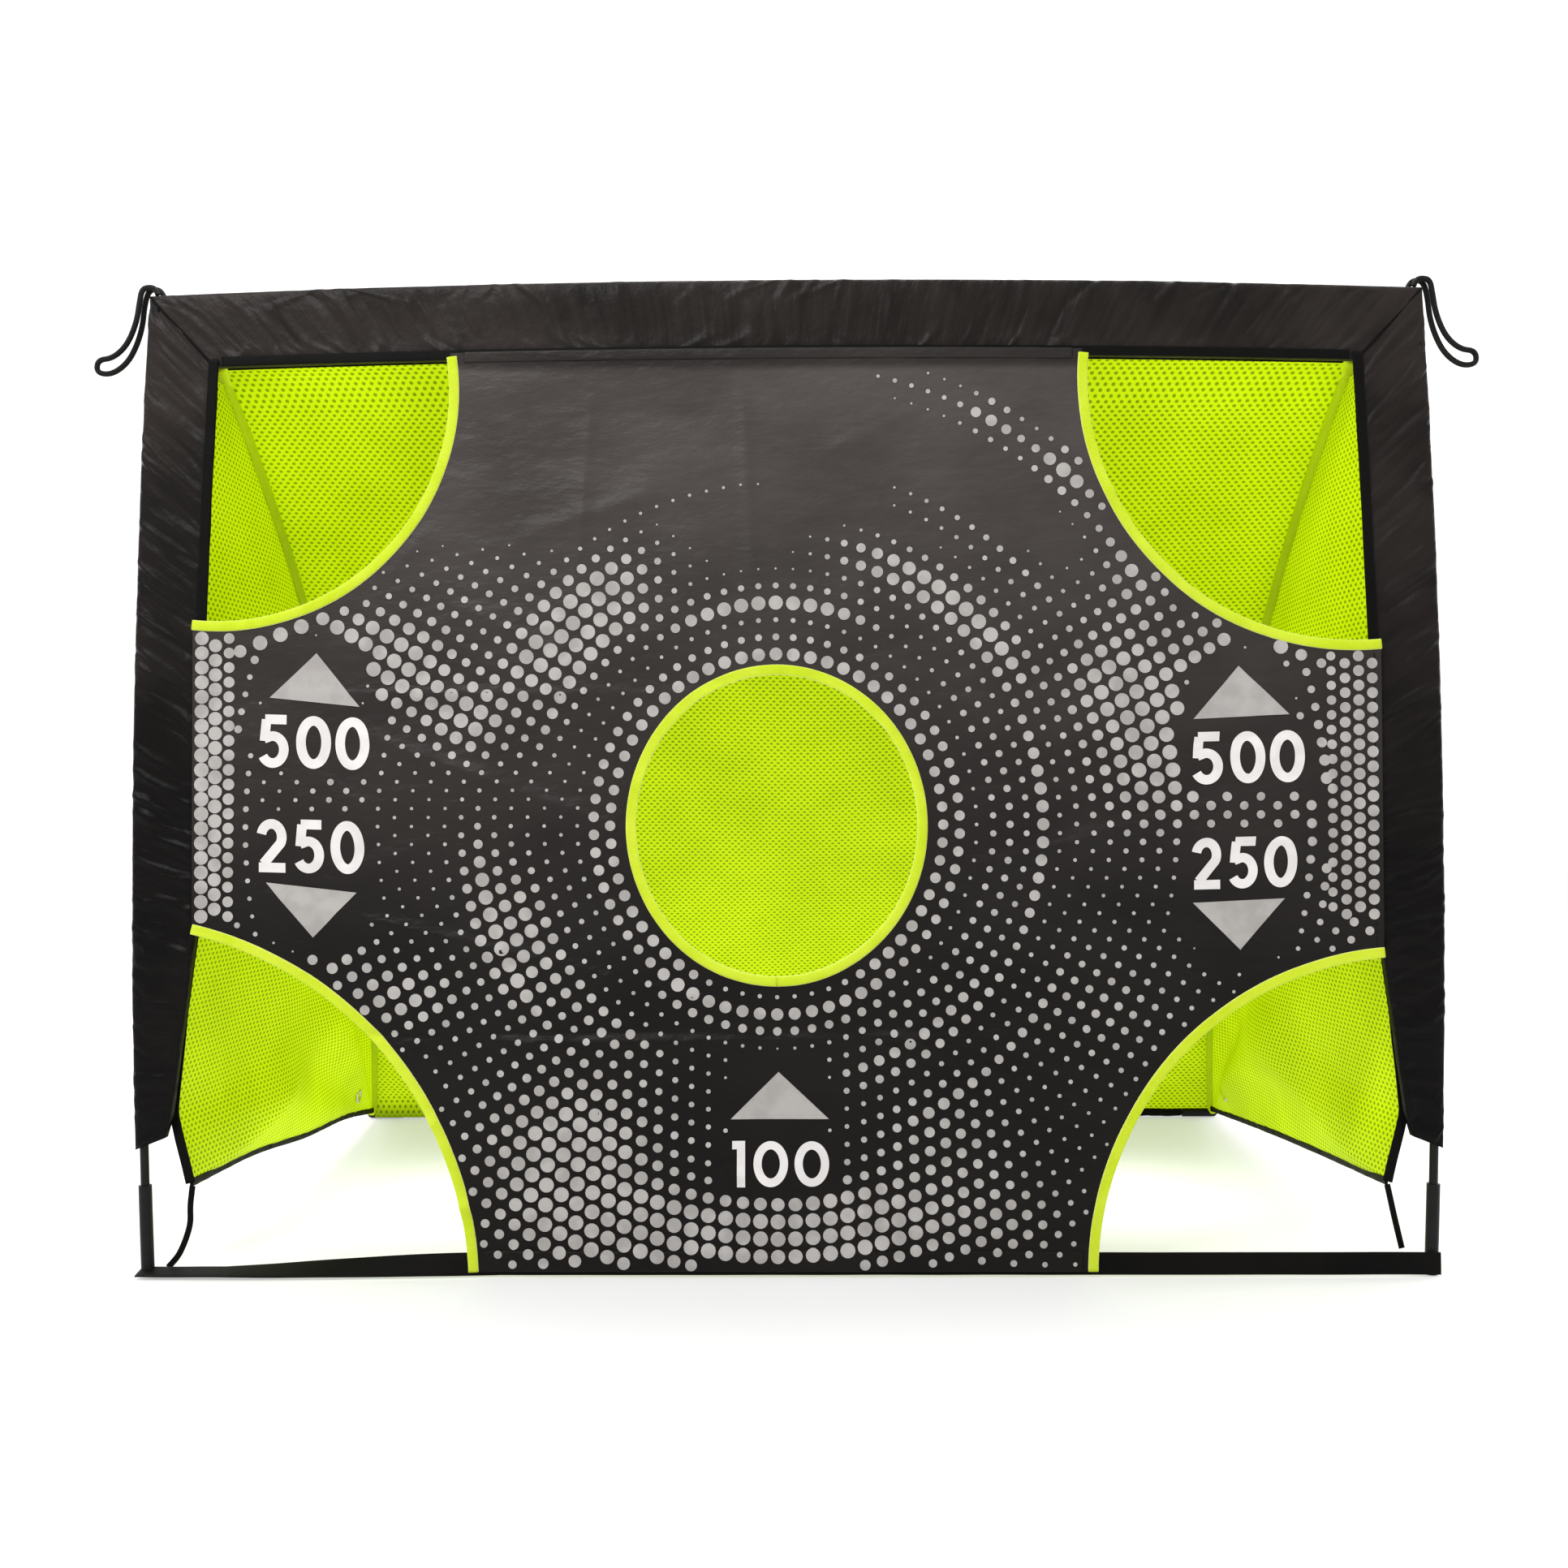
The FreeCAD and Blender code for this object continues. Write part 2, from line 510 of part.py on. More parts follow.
def side_nets():
    """Each side panel, from the binding behind the sleeve back to the stay, with its tape hem."""
    front = V(TIE_X - 8.0, FRONT_Y + SLEEVE_HALF + 3.0, 0)
    back = V(REAR_X - 9.0, REAR_Y, 0)
    run = back - front
    length = run.Length
    run.normalize()
    across = V(run.y, -run.x, 0)
    inset = 9.0
    chord_top = HINGE_Y - front.y
    top = (chord_top + 4.0, HINGE_Z - 26.0)
    middle = (STAY_MIDDLE.y - front.y - inset, STAY_MIDDLE.z - inset)
    bottom = (length - 40.0, 34.0)
    corners = [(0.0, INNER_TOP[1] - 8.0), top, middle, bottom, (0.0, TIE_Z + 4.0)]
    spots = [front + run * s + V(0, 0, z) for s, z in corners]
    edges = [Part.makeLine(spots[0], spots[1]), Part.Arc(spots[1], spots[2], spots[3]).toShape(),
             Part.makeLine(spots[3], spots[4]), Part.makeLine(spots[4], spots[0])]
    panel = Part.Face(Part.Wire(Part.__sortEdges__(edges))).extrude(across * NET_THICK)
    save_pair(panel, "side_net")
    hem_front = spots[4] + V(1.5, 0, -5.5)
    hem_back = front + run * (length - 44.0) + V(1.5, 0, 27.0)
    save_pair(strip(hem_front, hem_back, 7.0, HEM_THICK), "side_hem")


def eyelets():
    """Metal eyelets for ground pegs, low on the side nets beside the rear corners."""
    spot = V(REAR_X - 20.5, REAR_Y - 140.0, 57.0)
    ring = Part.makeTorus(8.0, 1.8, spot, V(1, 0, 0))
    save_pair(ring, "peg_eyelet")


os.makedirs("parts", exist_ok=True)
crossbar()
uprights()
hubs()
sleeves()
edge_tapes()
ground_strap()
foot_ties()
corner_loops()
target_sheet()
sheet_hems()
stay_forks()
stays()
ground_bar()
back_net()
side_nets()
eyelets()
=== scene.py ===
"""Looks of the folding target goal: cloth, net, webbing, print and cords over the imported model.

Points are in millimetres in the model's frame (+X right, +Y to the back of the net, +Z up) until they become
a mesh, and metres from there on.
"""
import math
from collections import namedtuple

import bpy
import numpy as np
from mathutils import Matrix, Vector
from numpy.random import default_rng


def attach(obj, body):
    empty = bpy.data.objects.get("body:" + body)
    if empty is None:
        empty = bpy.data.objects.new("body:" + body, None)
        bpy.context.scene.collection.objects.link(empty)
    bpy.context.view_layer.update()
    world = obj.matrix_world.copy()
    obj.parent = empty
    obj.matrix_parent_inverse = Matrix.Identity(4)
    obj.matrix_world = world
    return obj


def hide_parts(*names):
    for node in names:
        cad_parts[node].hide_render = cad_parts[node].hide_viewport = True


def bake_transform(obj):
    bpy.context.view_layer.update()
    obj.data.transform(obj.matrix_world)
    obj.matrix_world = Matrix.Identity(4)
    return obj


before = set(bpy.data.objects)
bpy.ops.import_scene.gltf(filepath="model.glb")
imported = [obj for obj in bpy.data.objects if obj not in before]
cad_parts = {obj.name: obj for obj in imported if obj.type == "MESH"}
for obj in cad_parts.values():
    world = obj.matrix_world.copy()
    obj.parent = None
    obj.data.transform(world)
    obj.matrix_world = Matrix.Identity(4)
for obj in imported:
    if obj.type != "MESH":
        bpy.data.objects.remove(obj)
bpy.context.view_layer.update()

FRONT_Y = -372.05
REAR_Y = 377.95
HINGE = np.array([556.0, FRONT_Y + 18.0, 890.0])
REAR_CORNER = np.array([600.0, REAR_Y, 6.5])
HOLE = (-8.0, 422.0, 132.0, 141.5)
CUT_OUTS = {
    "upper_left": (-535.0, 835.0, 218.5),
    "upper_right": (535.0, 842.0, 248.5),
    "lower_left": (-638.0, -10.0, 340.5),
    "lower_right": (584.0, 4.0, 293.5),
}
SHEET_HALF_W = 559.0
SHEET_LOW = 5.0
SHEET_TOP = 867.0
SHEET_Y = FRONT_Y - 10.8
EDGE_RISE = 8.0
INNER_EDGE = np.array([(541.0, 860.0), (547.5, 730.0), (552.5, 600.0), (555.6, 465.0), (557.0, 330.0),
                       (568.5, 240.0), (580.0, 150.0), (586.0, 129.0)])
TIE_POINT = (566.5, 84.0)
SIDES = ((-1, "left"), (1, "right"))


def add_object(name, data):
    thing = bpy.data.objects.new(name, data)
    bpy.context.scene.collection.objects.link(thing)
    return thing


# ---------------------------------------------------------------- camera
def place_camera():
    x, y, z = 0.0139, -1.8265, 0.4323
    yaw, pitch, roll = math.radians(0.586), math.radians(1.124), math.radians(-0.213)
    focal = 0.98075
    forward = Vector((-math.sin(yaw) * math.cos(pitch), math.cos(yaw) * math.cos(pitch), math.sin(pitch)))
    right = Vector((math.cos(yaw), math.sin(yaw), 0.0))
    up = right.cross(forward)
    turned_right = right * math.cos(roll) + up * math.sin(roll)
    turned_up = up * math.cos(roll) - right * math.sin(roll)
    turn = Matrix((turned_right, turned_up, -forward)).transposed().to_4x4()
    data = bpy.data.cameras.new("camera")
    data.sensor_width = 36.0
    data.lens = 36.0 * focal
    data.clip_start = 0.05
    data.clip_end = 60.0
    camera = add_object("camera", data)
    camera.matrix_world = Matrix.Translation((x, y, z)) @ turn
    bpy.context.scene.camera = camera


place_camera()


# ---------------------------------------------------------------- materials
def srgb(r, g, b):
    def linear(v):
        v = v / 255.0
        return v / 12.92 if v <= 0.04045 else ((v + 0.055) / 1.055) ** 2.4
    return (linear(r), linear(g), linear(b), 1.0)


class Nodes:
    """Builds one material's node tree."""

    def __init__(self, name, roughness, specular=0.5, sheen=0.0, metallic=0.0):
        self.material = bpy.data.materials.new(name)
        self.material.use_nodes = True
        self.tree = self.material.node_tree
        self.shader = self.tree.nodes["Principled BSDF"]
        self.shader.inputs["Roughness"].default_value = roughness
        self.shader.inputs["Specular IOR Level"].default_value = specular
        self.shader.inputs["Sheen Weight"].default_value = sheen
        self.shader.inputs["Metallic"].default_value = metallic

    def link(self, value, socket):
        if isinstance(value, bpy.types.NodeSocket):
            self.tree.links.new(value, socket)
        else:
            socket.default_value = value

    def new(self, kind):
        return self.tree.nodes.new("ShaderNode" + kind)

    def coordinates(self, which):
        return self.new("TexCoord").outputs[which]

    def place(self):
        return self.coordinates("Object")

    def split(self, vector):
        node = self.new("SeparateXYZ")
        self.link(vector, node.inputs[0])
        return node.outputs

    def math(self, operation, a, b=0.0, c=0.0):
        node = self.new("Math")
        node.operation = operation
        for value, socket in zip((a, b, c), node.inputs):
            self.link(value, socket)
        return node.outputs[0]

    def times(self, a, b):
        return self.math("MULTIPLY", a, b)

    def plus(self, a, b):
        return self.math("ADD", a, b)

    def minus(self, a, b):
        return self.math("SUBTRACT", a, b)

    def ramp(self, value, low, high, out_low=0.0, out_high=1.0):
        node = self.new("MapRange")
        node.interpolation_type = "SMOOTHSTEP"
        for number, socket in zip((value, low, high, out_low, out_high), node.inputs):
            self.link(number, socket)
        return node.outputs[0]

    def noise(self, vector, scale, detail=3.0, roughness=0.55):
        node = self.new("TexNoise")
        self.link(vector, node.inputs["Vector"])
        node.inputs["Scale"].default_value = scale
        node.inputs["Detail"].default_value = detail
        node.inputs["Roughness"].default_value = roughness
        return node.outputs["Fac"]

    def stretched(self, vector, scale):
        node = self.new("Mapping")
        self.link(vector, node.inputs["Vector"])
        node.inputs["Scale"].default_value = scale
        return node.outputs[0]

    def mix(self, share, a, b):
        node = self.new("Mix")
        node.data_type = "RGBA"
        self.link(share, node.inputs["Factor"])
        self.link(a, node.inputs["A"])
        self.link(b, node.inputs["B"])
        return node.outputs["Result"]

    def bump(self, height, strength, distance):
        node = self.new("Bump")
        node.inputs["Strength"].default_value = strength
        node.inputs["Distance"].default_value = distance
        self.link(height, node.inputs["Height"])
        before = self.shader.inputs["Normal"]
        if before.links:
            self.link(before.links[0].from_socket, node.inputs["Normal"])
        self.link(node.outputs[0], before)

    def grain(self, scale, detail, strength, distance):
        """Bumps from noise in the object's own space."""
        self.bump(self.noise(self.place(), scale, detail), strength, distance)

    def colour(self, value):
        self.link(value, self.shader.inputs["Base Color"])

    def lets_light_through(self, share, value):
        """Thin cloth: part of the light that falls on its back shows on its front."""
        glow = self.new("BsdfTranslucent")
        self.link(value, glow.inputs["Color"])
        both = self.new("MixShader")
        both.inputs[0].default_value = share
        self.tree.links.new(self.shader.outputs[0], both.inputs[1])
        self.tree.links.new(glow.outputs[0], both.inputs[2])
        output = self.tree.nodes["Material Output"]
        self.tree.links.new(both.outputs[0], output.inputs["Surface"])


def woven_black(name, dark, light, roughness, pitch, specular=0.15, sheen=0.0):
    """Black cloth or webbing: a fine plain weave with slightly uneven colour."""
    m = Nodes(name, roughness, specular, sheen)
    uv = m.coordinates("UV")
    u, v, _ = m.split(uv)
    weave = m.times(m.math("SINE", m.times(u, 2 * math.pi / pitch)),
                    m.math("SINE", m.times(v, 2 * math.pi / pitch)))
    patches = m.noise(m.place(), 9.0, 4.0)
    shade = m.plus(m.times(weave, 0.08), patches)
    m.colour(m.mix(m.ramp(shade, 0.3, 0.7), dark, light))
    m.bump(weave, 0.25, 0.0002)
    m.grain(70.0, 3.0, 0.25, 0.0008)
    return m.material


def sleeve_cloth():
    """Thin black coated cloth that has gathered into fine creases across the sleeve, with painted shade that
    darkens it towards the bottom.
    """
    m = Nodes("sleeve_cloth", 0.45, 0.09, 0.0)
    uv = m.coordinates("UV")
    u, v, _ = m.split(uv)
    fine = m.noise(m.stretched(uv, (75.0, 4.0, 1.0)), 1.0, 4.0, 0.5)
    patches = m.noise(m.place(), 6.0, 3.0)
    _, _, z = m.split(m.place())
    # Random tone patches, plus painted crease shading: the colour follows the fine crease noise that also
    # bumps the cloth.
    tone_and_crease_shade = m.ramp(m.plus(m.times(fine, 0.35), patches), 0.5, 0.85)
    # Painted shade: low is the shaded colour near the floor and high is the lit colour at the top, blended by
    # height in the colour below.
    low = m.mix(tone_and_crease_shade, srgb(4, 3, 3), srgb(12, 9, 8))
    high = m.mix(tone_and_crease_shade, srgb(24, 21, 19), srgb(42, 37, 35))
    off_seam = m.math("ABSOLUTE", m.minus(m.math("PINGPONG", v, 0.5), 0.372))
    seam = m.ramp(off_seam, 0.0, 0.004, 1.0, 0.0)
    stitch = m.times(seam, m.ramp(m.math("PINGPONG", u, 0.002), 0.0004, 0.0009))
    m.colour(m.mix(stitch, m.mix(m.ramp(z, 0.35, 0.85), low, high), srgb(40, 36, 34)))
    m.bump(seam, 0.6, -0.001)
    m.grain(22.0, 4.0, 0.55, 0.006)
    m.bump(fine, 0.5, 0.004)
    m.bump(m.noise(m.stretched(uv, (300.0, 30.0, 1.0)), 1.0, 3.0), 0.25, 0.0008)
    return m.material


def printed_sheet():
    """Matt black-brown polyester with soft creases, with painted light that makes it lighter towards the top
    and a painted shadow along its top strip.
    """
    m = Nodes("printed_sheet", 0.48, 0.13, 0.0)
    place = m.place()
    x, _, z = m.split(place)
    patches = m.noise(m.stretched(place, (1.0, 1.0, 1.6)), 5.0, 4.0)
    # Painted light: brighter towards the top where the light falls, and a painted shadow from about 0.85 m
    # up, under the sleeve.
    height = m.times(m.ramp(z, 0.2, 0.95), m.ramp(z, 0.849, 0.859, 1.0, 0.3))
    low = m.mix(m.ramp(patches, 0.3, 0.7), srgb(11, 8, 7), srgb(20, 17, 15))
    high = m.mix(m.ramp(patches, 0.3, 0.7), srgb(60, 55, 53), srgb(74, 69, 67))
    seam = m.ramp(m.math("ABSOLUTE", m.minus(m.math("ABSOLUTE", x), 0.5525)), 0.0004, 0.0009, 1.0, 0.0)
    stitch = m.times(seam, m.ramp(m.math("PINGPONG", z, 0.003), 0.0009, 0.0014))
    m.colour(m.mix(stitch, m.mix(height, low, high), srgb(8, 7, 7)))
    m.bump(m.noise(m.stretched(place, (1.0, 1.0, 2.2)), 11.0, 5.0), 0.6, 0.012)
    m.grain(900.0, 2.0, 0.15, 0.0002)
    return m.material


def print_ink(name, dark, light):
    m = Nodes(name, 0.6, 0.14)
    place = m.place()
    m.colour(m.mix(m.ramp(m.noise(place, 40.0, 3.0), 0.35, 0.65), dark, light))
    m.grain(800.0, 2.0, 0.12, 0.0002)
    return m.material


def lime_cloth(name, dark, light, edge, pitch, share):
    """Lime binding: a ribbed weave along its length, paler along both edges (v runs round the section)."""
    m = Nodes(name, 0.55, 0.15, 0.0)
    u, v, _ = m.split(m.coordinates("UV"))
    ribs = m.math("SINE", m.times(u, 2 * math.pi / pitch))
    patches = m.noise(m.place(), 30.0, 3.0)
    body = m.mix(m.ramp(m.plus(m.times(ribs, 0.1), patches), 0.3, 0.7), dark, light)
    off_centre = m.math("ABSOLUTE", m.minus(m.math("PINGPONG", v, 0.5), 0.25))
    whole = m.mix(m.ramp(off_centre, 0.14, 0.2), body, edge)
    m.colour(whole)
    m.lets_light_through(share, whole)
    m.bump(ribs, 0.3, 0.0003)
    return m.material


def lime_mesh():
    """Knitted net: staggered oval holes in bright yarn. UV is in metres on the cloth."""
    m = Nodes("lime_mesh", 0.6, 0.15, 0.0)
    u, v, _ = m.split(m.coordinates("UV"))
    across, rise = 0.0078, 0.0047
    row = m.math("FLOOR", m.math("DIVIDE", v, rise))
    shift = m.times(m.math("FLOORED_MODULO", row, 2.0), 0.5)
    fu = m.minus(m.math("FRACT", m.plus(m.math("DIVIDE", u, across), shift)), 0.5)
    fv = m.minus(m.math("FRACT", m.math("DIVIDE", v, rise)), 0.5)
    far = m.math("SQRT", m.plus(m.times(m.times(fu, fu), 5.5), m.times(m.times(fv, fv), 3.2)))
    hole = m.ramp(far, 0.42, 0.72, 1.0, 0.0)
    patches = m.noise(m.place(), 7.0, 4.0)
    yarn = m.mix(m.ramp(patches, 0.3, 0.7), srgb(176, 202, 2), srgb(188, 214, 8))
    gap = m.mix(m.ramp(patches, 0.3, 0.7), srgb(104, 132, 0), srgb(122, 150, 0))
    both = m.mix(hole, yarn, gap)
    m.colour(both)
    m.lets_light_through(0.42, both)
    m.bump(hole, 0.35, -0.0008)
    m.grain(500.0, 2.0, 0.15, 0.0003)
    return m.material


def hard(name, colour, lighter, roughness, metallic=0.0, scale=60.0):
    m = Nodes(name, roughness, 0.2, 0.0, metallic)
    place = m.place()
    m.colour(m.mix(m.ramp(m.noise(place, scale, 3.0), 0.35, 0.65), colour, lighter))
    m.grain(scale * 8.0, 2.0, 0.08, 0.0003)
    return m.material


SLEEVE = sleeve_cloth()
SHEET = printed_sheet()
WEBBING = woven_black("black_webbing", srgb(4, 3, 3), srgb(11, 9, 8), 0.6, 0.0012, 0.08)
SEAM_TAPE = woven_black("black_tape", srgb(4, 3, 3), srgb(9, 8, 7), 0.55, 0.001, 0.08)
ELASTIC = woven_black("elastic_cord", srgb(10, 9, 9), srgb(27, 25, 24), 0.6, 0.0016)
BINDING = lime_cloth("lime_tape", srgb(206, 228, 34), srgb(218, 236, 62), srgb(236, 244, 150), 0.0014, 0.25)
TUNNEL = lime_cloth("lime_seam", srgb(208, 232, 8), srgb(216, 238, 16), srgb(218, 240, 20), 0.0016, 0.15)
MESH = lime_mesh()
DOT_INK = print_ink("dot_ink", srgb(150, 146, 143), srgb(168, 164, 161))
MARK_INK = print_ink("mark_ink", srgb(152, 148, 145), srgb(164, 160, 157))
WHITE_INK = print_ink("white_ink", srgb(206, 202, 200), srgb(216, 212, 210))
GLASS_FIBRE = hard("fibreglass", srgb(8, 7, 7), srgb(14, 13, 13), 0.4, 0.0, 120.0)
STEEL = hard("steel", srgb(120, 120, 122), srgb(150, 150, 152), 0.3, 1.0, 90.0)
MOULDING = hard("moulding", srgb(8, 8, 8), srgb(14, 14, 15), 0.5, 0.0, 80.0)
EYELET = hard("eyelet_metal", srgb(205, 205, 205), srgb(228, 228, 226), 0.28, 1.0, 90.0)


# ---------------------------------------------------------------- meshes
def add_mesh(name, points, faces, uvs, material):
    """A mesh from points in mm. uvs has one (u, v) per corner of each face, in order."""
    data = bpy.data.meshes.new(name)
    data.from_pydata((np.asarray(points) * 0.001).tolist(), [], faces)
    layer = data.uv_layers.new(name="UVMap")
    layer.data.foreach_set("uv", np.asarray(uvs, np.float32).ravel())
    data.polygons.foreach_set("use_smooth", [True] * len(data.polygons))
    data.materials.append(material)
    data.validate()
    data.update()
    return add_object(name, data)


def finish_piece(thing, body, nodes=()):
    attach(thing, body)
    if nodes:
        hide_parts(*nodes)
    return thing


def grid_quads(rows, columns):
    """The four corner numbers of each cell of a grid."""
    index = np.arange(rows * columns).reshape(rows, columns)
    return np.stack([index[:-1, :-1], index[:-1, 1:], index[1:, 1:], index[1:, :-1]], -1)


def grid_mesh(name, points, uv, material, keep=None):
    """An open grid: points and uv are rows x columns x 3 and x 2. keep says which cells to make."""
    corners = grid_quads(*points.shape[:2])
    if keep is not None:
        corners = corners[keep]
    corners = corners.reshape(-1, 4)
    used, renumbered = np.unique(corners, return_inverse=True)
    faces = renumbered.reshape(-1, 4)
    flat_uv = uv.reshape(-1, 2)[corners.ravel()]
    return add_mesh(name, points.reshape(-1, 3)[used], faces.tolist(), flat_uv, material)


def points_at(x, y, z):
    """Points from their coordinates, which may be arrays or single numbers."""
    return np.stack(np.broadcast_arrays(x, y, z), -1)


def unit(vectors):
    return vectors / np.maximum(np.linalg.norm(vectors, axis=-1, keepdims=True), 1e-9)


def distances(points):
    """How far along a polyline each of its points is."""
    return np.concatenate([[0.0], np.cumsum(np.linalg.norm(np.diff(points, axis=0), axis=1))])


def resample(points, step):
    """Points at even distances along a polyline, about step apart."""
    points = np.asarray(points, float)
    lengths = distances(points)
    count = max(3, int(round(lengths[-1] / step)) + 1)
    at = np.linspace(0.0, lengths[-1], count)
    return np.stack([np.interp(at, lengths, points[:, k]) for k in range(points.shape[1])], -1)


def smoothed(points, times=3):
    """Rounds the corners of an evenly spaced polyline."""
    points = points.copy()
    for _ in range(times):
        points[1:-1] = 0.25 * points[:-2] + 0.5 * points[1:-1] + 0.25 * points[2:]
    return points


def waves(rng, wavelength, count=10):
    """A smooth random function of two coordinates, about -1 to 1."""
    angles = rng.uniform(0, 2 * math.pi, count)
    lengths = wavelength * rng.uniform(0.7, 1.5, count)
    phases = rng.uniform(0, 2 * math.pi, count)

    def value(a, b):
        total = 0.0
        for angle, length, phase in zip(angles, lengths, phases):
            along = a * math.cos(angle) + b * math.sin(angle)
            total = total + np.sin(along * 2 * math.pi / length + phase)
        return total / math.sqrt(count)
    return value


def creases(folds):
    """A function of two coordinates. Each fold is (a0, b0, a1, b1, width, height), a ridge on a segment."""
    def value(a, b):
        total = np.zeros(np.broadcast(a, b).shape)
        for a0, b0, a1, b1, width, height in folds:
            da, db = a1 - a0, b1 - b0
            length = math.hypot(da, db)
            share = ((a - a0) * da + (b - b0) * db) / length ** 2
            off = np.abs((a - a0) * db - (b - b0) * da) / length
            fade = np.clip(1.0 - np.abs(2.0 * np.clip(share, 0, 1) - 1.0) ** 3, 0, 1)
            inside = np.where((share > 0) & (share < 1), fade, 0.0)
            total = total + 2.6 * height * inside * np.exp(-(off / width / 1.5) ** 1.5)
        return total
    return value


def sweep(name, centre, across, normal, half_w, half_t, material, around=20, power=2.6, rough=None):
    """A closed strap, tape or tube along centre (n x 3). rough(i, c, s) adds height along the normal."""
    centre = np.asarray(centre, float)
    count = len(centre)
    across = np.broadcast_to(across, (count, 3))
    normal = np.broadcast_to(normal, (count, 3))
    half_w = np.broadcast_to(half_w, (count,))
    half_t = np.broadcast_to(half_t, (count,))
    angle = np.linspace(0, 2 * math.pi, around, endpoint=False)
    c = np.sign(np.cos(angle)) * np.abs(np.cos(angle)) ** (2 / power)
    s = np.sign(np.sin(angle)) * np.abs(np.sin(angle)) ** (2 / power)
    lift = half_t[:, None] * s[None, :]
    if rough is not None:
        lift = lift + rough(np.arange(count)[:, None], c[None, :], s[None, :])
    points = (centre[:, None] + across[:, None] * (half_w[:, None] * c[None, :])[..., None]
              + normal[:, None] * lift[..., None])
    run = distances(centre) * 0.001
    index = np.arange(count * around).reshape(count, around)
    following = np.roll(index, -1, axis=1)
    quads = np.stack([index[:-1], following[:-1], following[1:], index[1:]], -1).reshape(-1, 4)
    v0 = np.arange(around) / around
    v1 = v0 + 1.0 / around
    uv = np.empty((count - 1, around, 4, 2))
    uv[:, :, 0, 0] = uv[:, :, 1, 0] = run[:-1, None]
    uv[:, :, 2, 0] = uv[:, :, 3, 0] = run[1:, None]
    uv[:, :, 0, 1] = uv[:, :, 3, 1] = v0[None]
    uv[:, :, 1, 1] = uv[:, :, 2, 1] = v1[None]
    caps = [index[0][::-1].tolist(), index[-1].tolist()]
    cap_uv = np.zeros((2 * around, 2))
    cap_uv[:, 1] = np.concatenate([v0, v0])
    return add_mesh(name, points.reshape(-1, 3), quads.tolist() + caps,
                    np.concatenate([uv.reshape(-1, 2), cap_uv]), material)


FACING = np.array([0.0, -1.0, 0.0])
UP = np.array([0.0, 0.0, 1.0])


def directions(centre, up):
    """Sideways and upward directions along a line of points, square to its run. Upward is on up's side."""
    tangent = unit(np.gradient(centre, axis=0))
    sideways = unit(np.cross(tangent, up))
    return sideways, unit(np.cross(sideways, tangent))


def ripple(seed, wavelength, count, run, height, reach):
    """Small waves for sweep's rough. run is the distance along the piece, reach how far they run across."""
    wave = waves(default_rng(seed), wavelength, count)

    def rough(i, c, s):
        return height * wave(run[i], c * reach)
    return rough


def top_rise(x):
    """The sleeve's lower edge bows up with the crossbar towards the middle."""
    return EDGE_RISE * (1.0 - np.minimum((x / 541.0) ** 2, 1.0))


def mirrored(points, side):
    points = np.array(points, float)
    points[..., 0] *= side
    return points


# ---------------------------------------------------------------- corner loop cords
LOOP_ROUTE = [
    (596.5, -3.0, 929.8), (598.3, -3.0, 935.4), (604.0, -3.0, 937.4), (612.0, -3.0, 935.4),
    (614.2, -3.0, 922.0), (617.0, -3.0, 903.0), (626.0, -2.8, 881.5), (640.0, -2.0, 869.5),
    (654.8, -1.0, 868.4), (656.8, 1.0, 856.4), (642.5, 2.0, 855.0), (628.0, 2.8, 866.0),
    (619.0, 3.0, 883.0), (613.5, 3.0, 902.0), (611.8, 3.0, 922.0), (608.0, 3.0, 935.6),
    (601.0, 3.0, 937.4), (595.3, 3.0, 934.9), (593.2, 3.0, 929.9),
]


def corner_loop(side, name):
    curve = bpy.data.curves.new(name, "CURVE")
    curve.dimensions = "3D"
    curve.bevel_depth = 0.0026
    curve.bevel_resolution = 6
    curve.resolution_u = 12
    curve.use_fill_caps = True
    spline = curve.splines.new("NURBS")
    spline.points.add(len(LOOP_ROUTE) - 1)
    for point, (x, y, z) in zip(spline.points, LOOP_ROUTE):
        point.co = (side * x / 1000, (FRONT_Y + y) / 1000, z / 1000, 1.0)
    spline.order_u = 3
    spline.use_endpoint_u = True
    curve.materials.append(ELASTIC)
    loop = add_object(name + "_cord", curve)
    finish_piece(loop, "front_frame", [name])
    x, y, z = LOOP_ROUTE[0]


corner_loop(1, "corner_loop_right")
corner_loop(-1, "corner_loop_left")


# ---------------------------------------------------------------- front frame: sleeves
def upright_x(z, offset):
    """The right upright's axis bows outwards between its top corner and its foot."""
    top, middle, foot = 597.5, 611.5, 603.0
    share = z / 921.5
    straight = foot + (top - foot) * share
    bow = middle - (foot + (top - foot) * 0.5)
    return straight + bow * 4.0 * share * (1.0 - share) + offset


def gathers(rng, length, spacing, height, lean):
    """Creases across a sleeve: heights by distance along it and position across it (-1 to 1)."""
    count = int(length / spacing)
    at = np.sort(rng.uniform(0, length, count))
    tilt = rng.normal(0, lean, count)
    wide = rng.uniform(2.2, 6.0, count)
    tall = height * rng.uniform(0.3, 1.0, count) * rng.choice([-0.6, 1.0], count)
    middle = rng.uniform(-0.9, 0.9, count)
    reach = rng.uniform(0.35, 1.1, count)

    def value(along, c):
        total = np.zeros(np.broadcast(along, c).shape)
        for a, t, w, h, m, r in zip(at, tilt, wide, tall, middle, reach):
            off = (along - a - t * (c - m)) / w
            total = total + h * np.exp(-off ** 2) * np.exp(-((c - m) / r) ** 2)
        return total
    return value


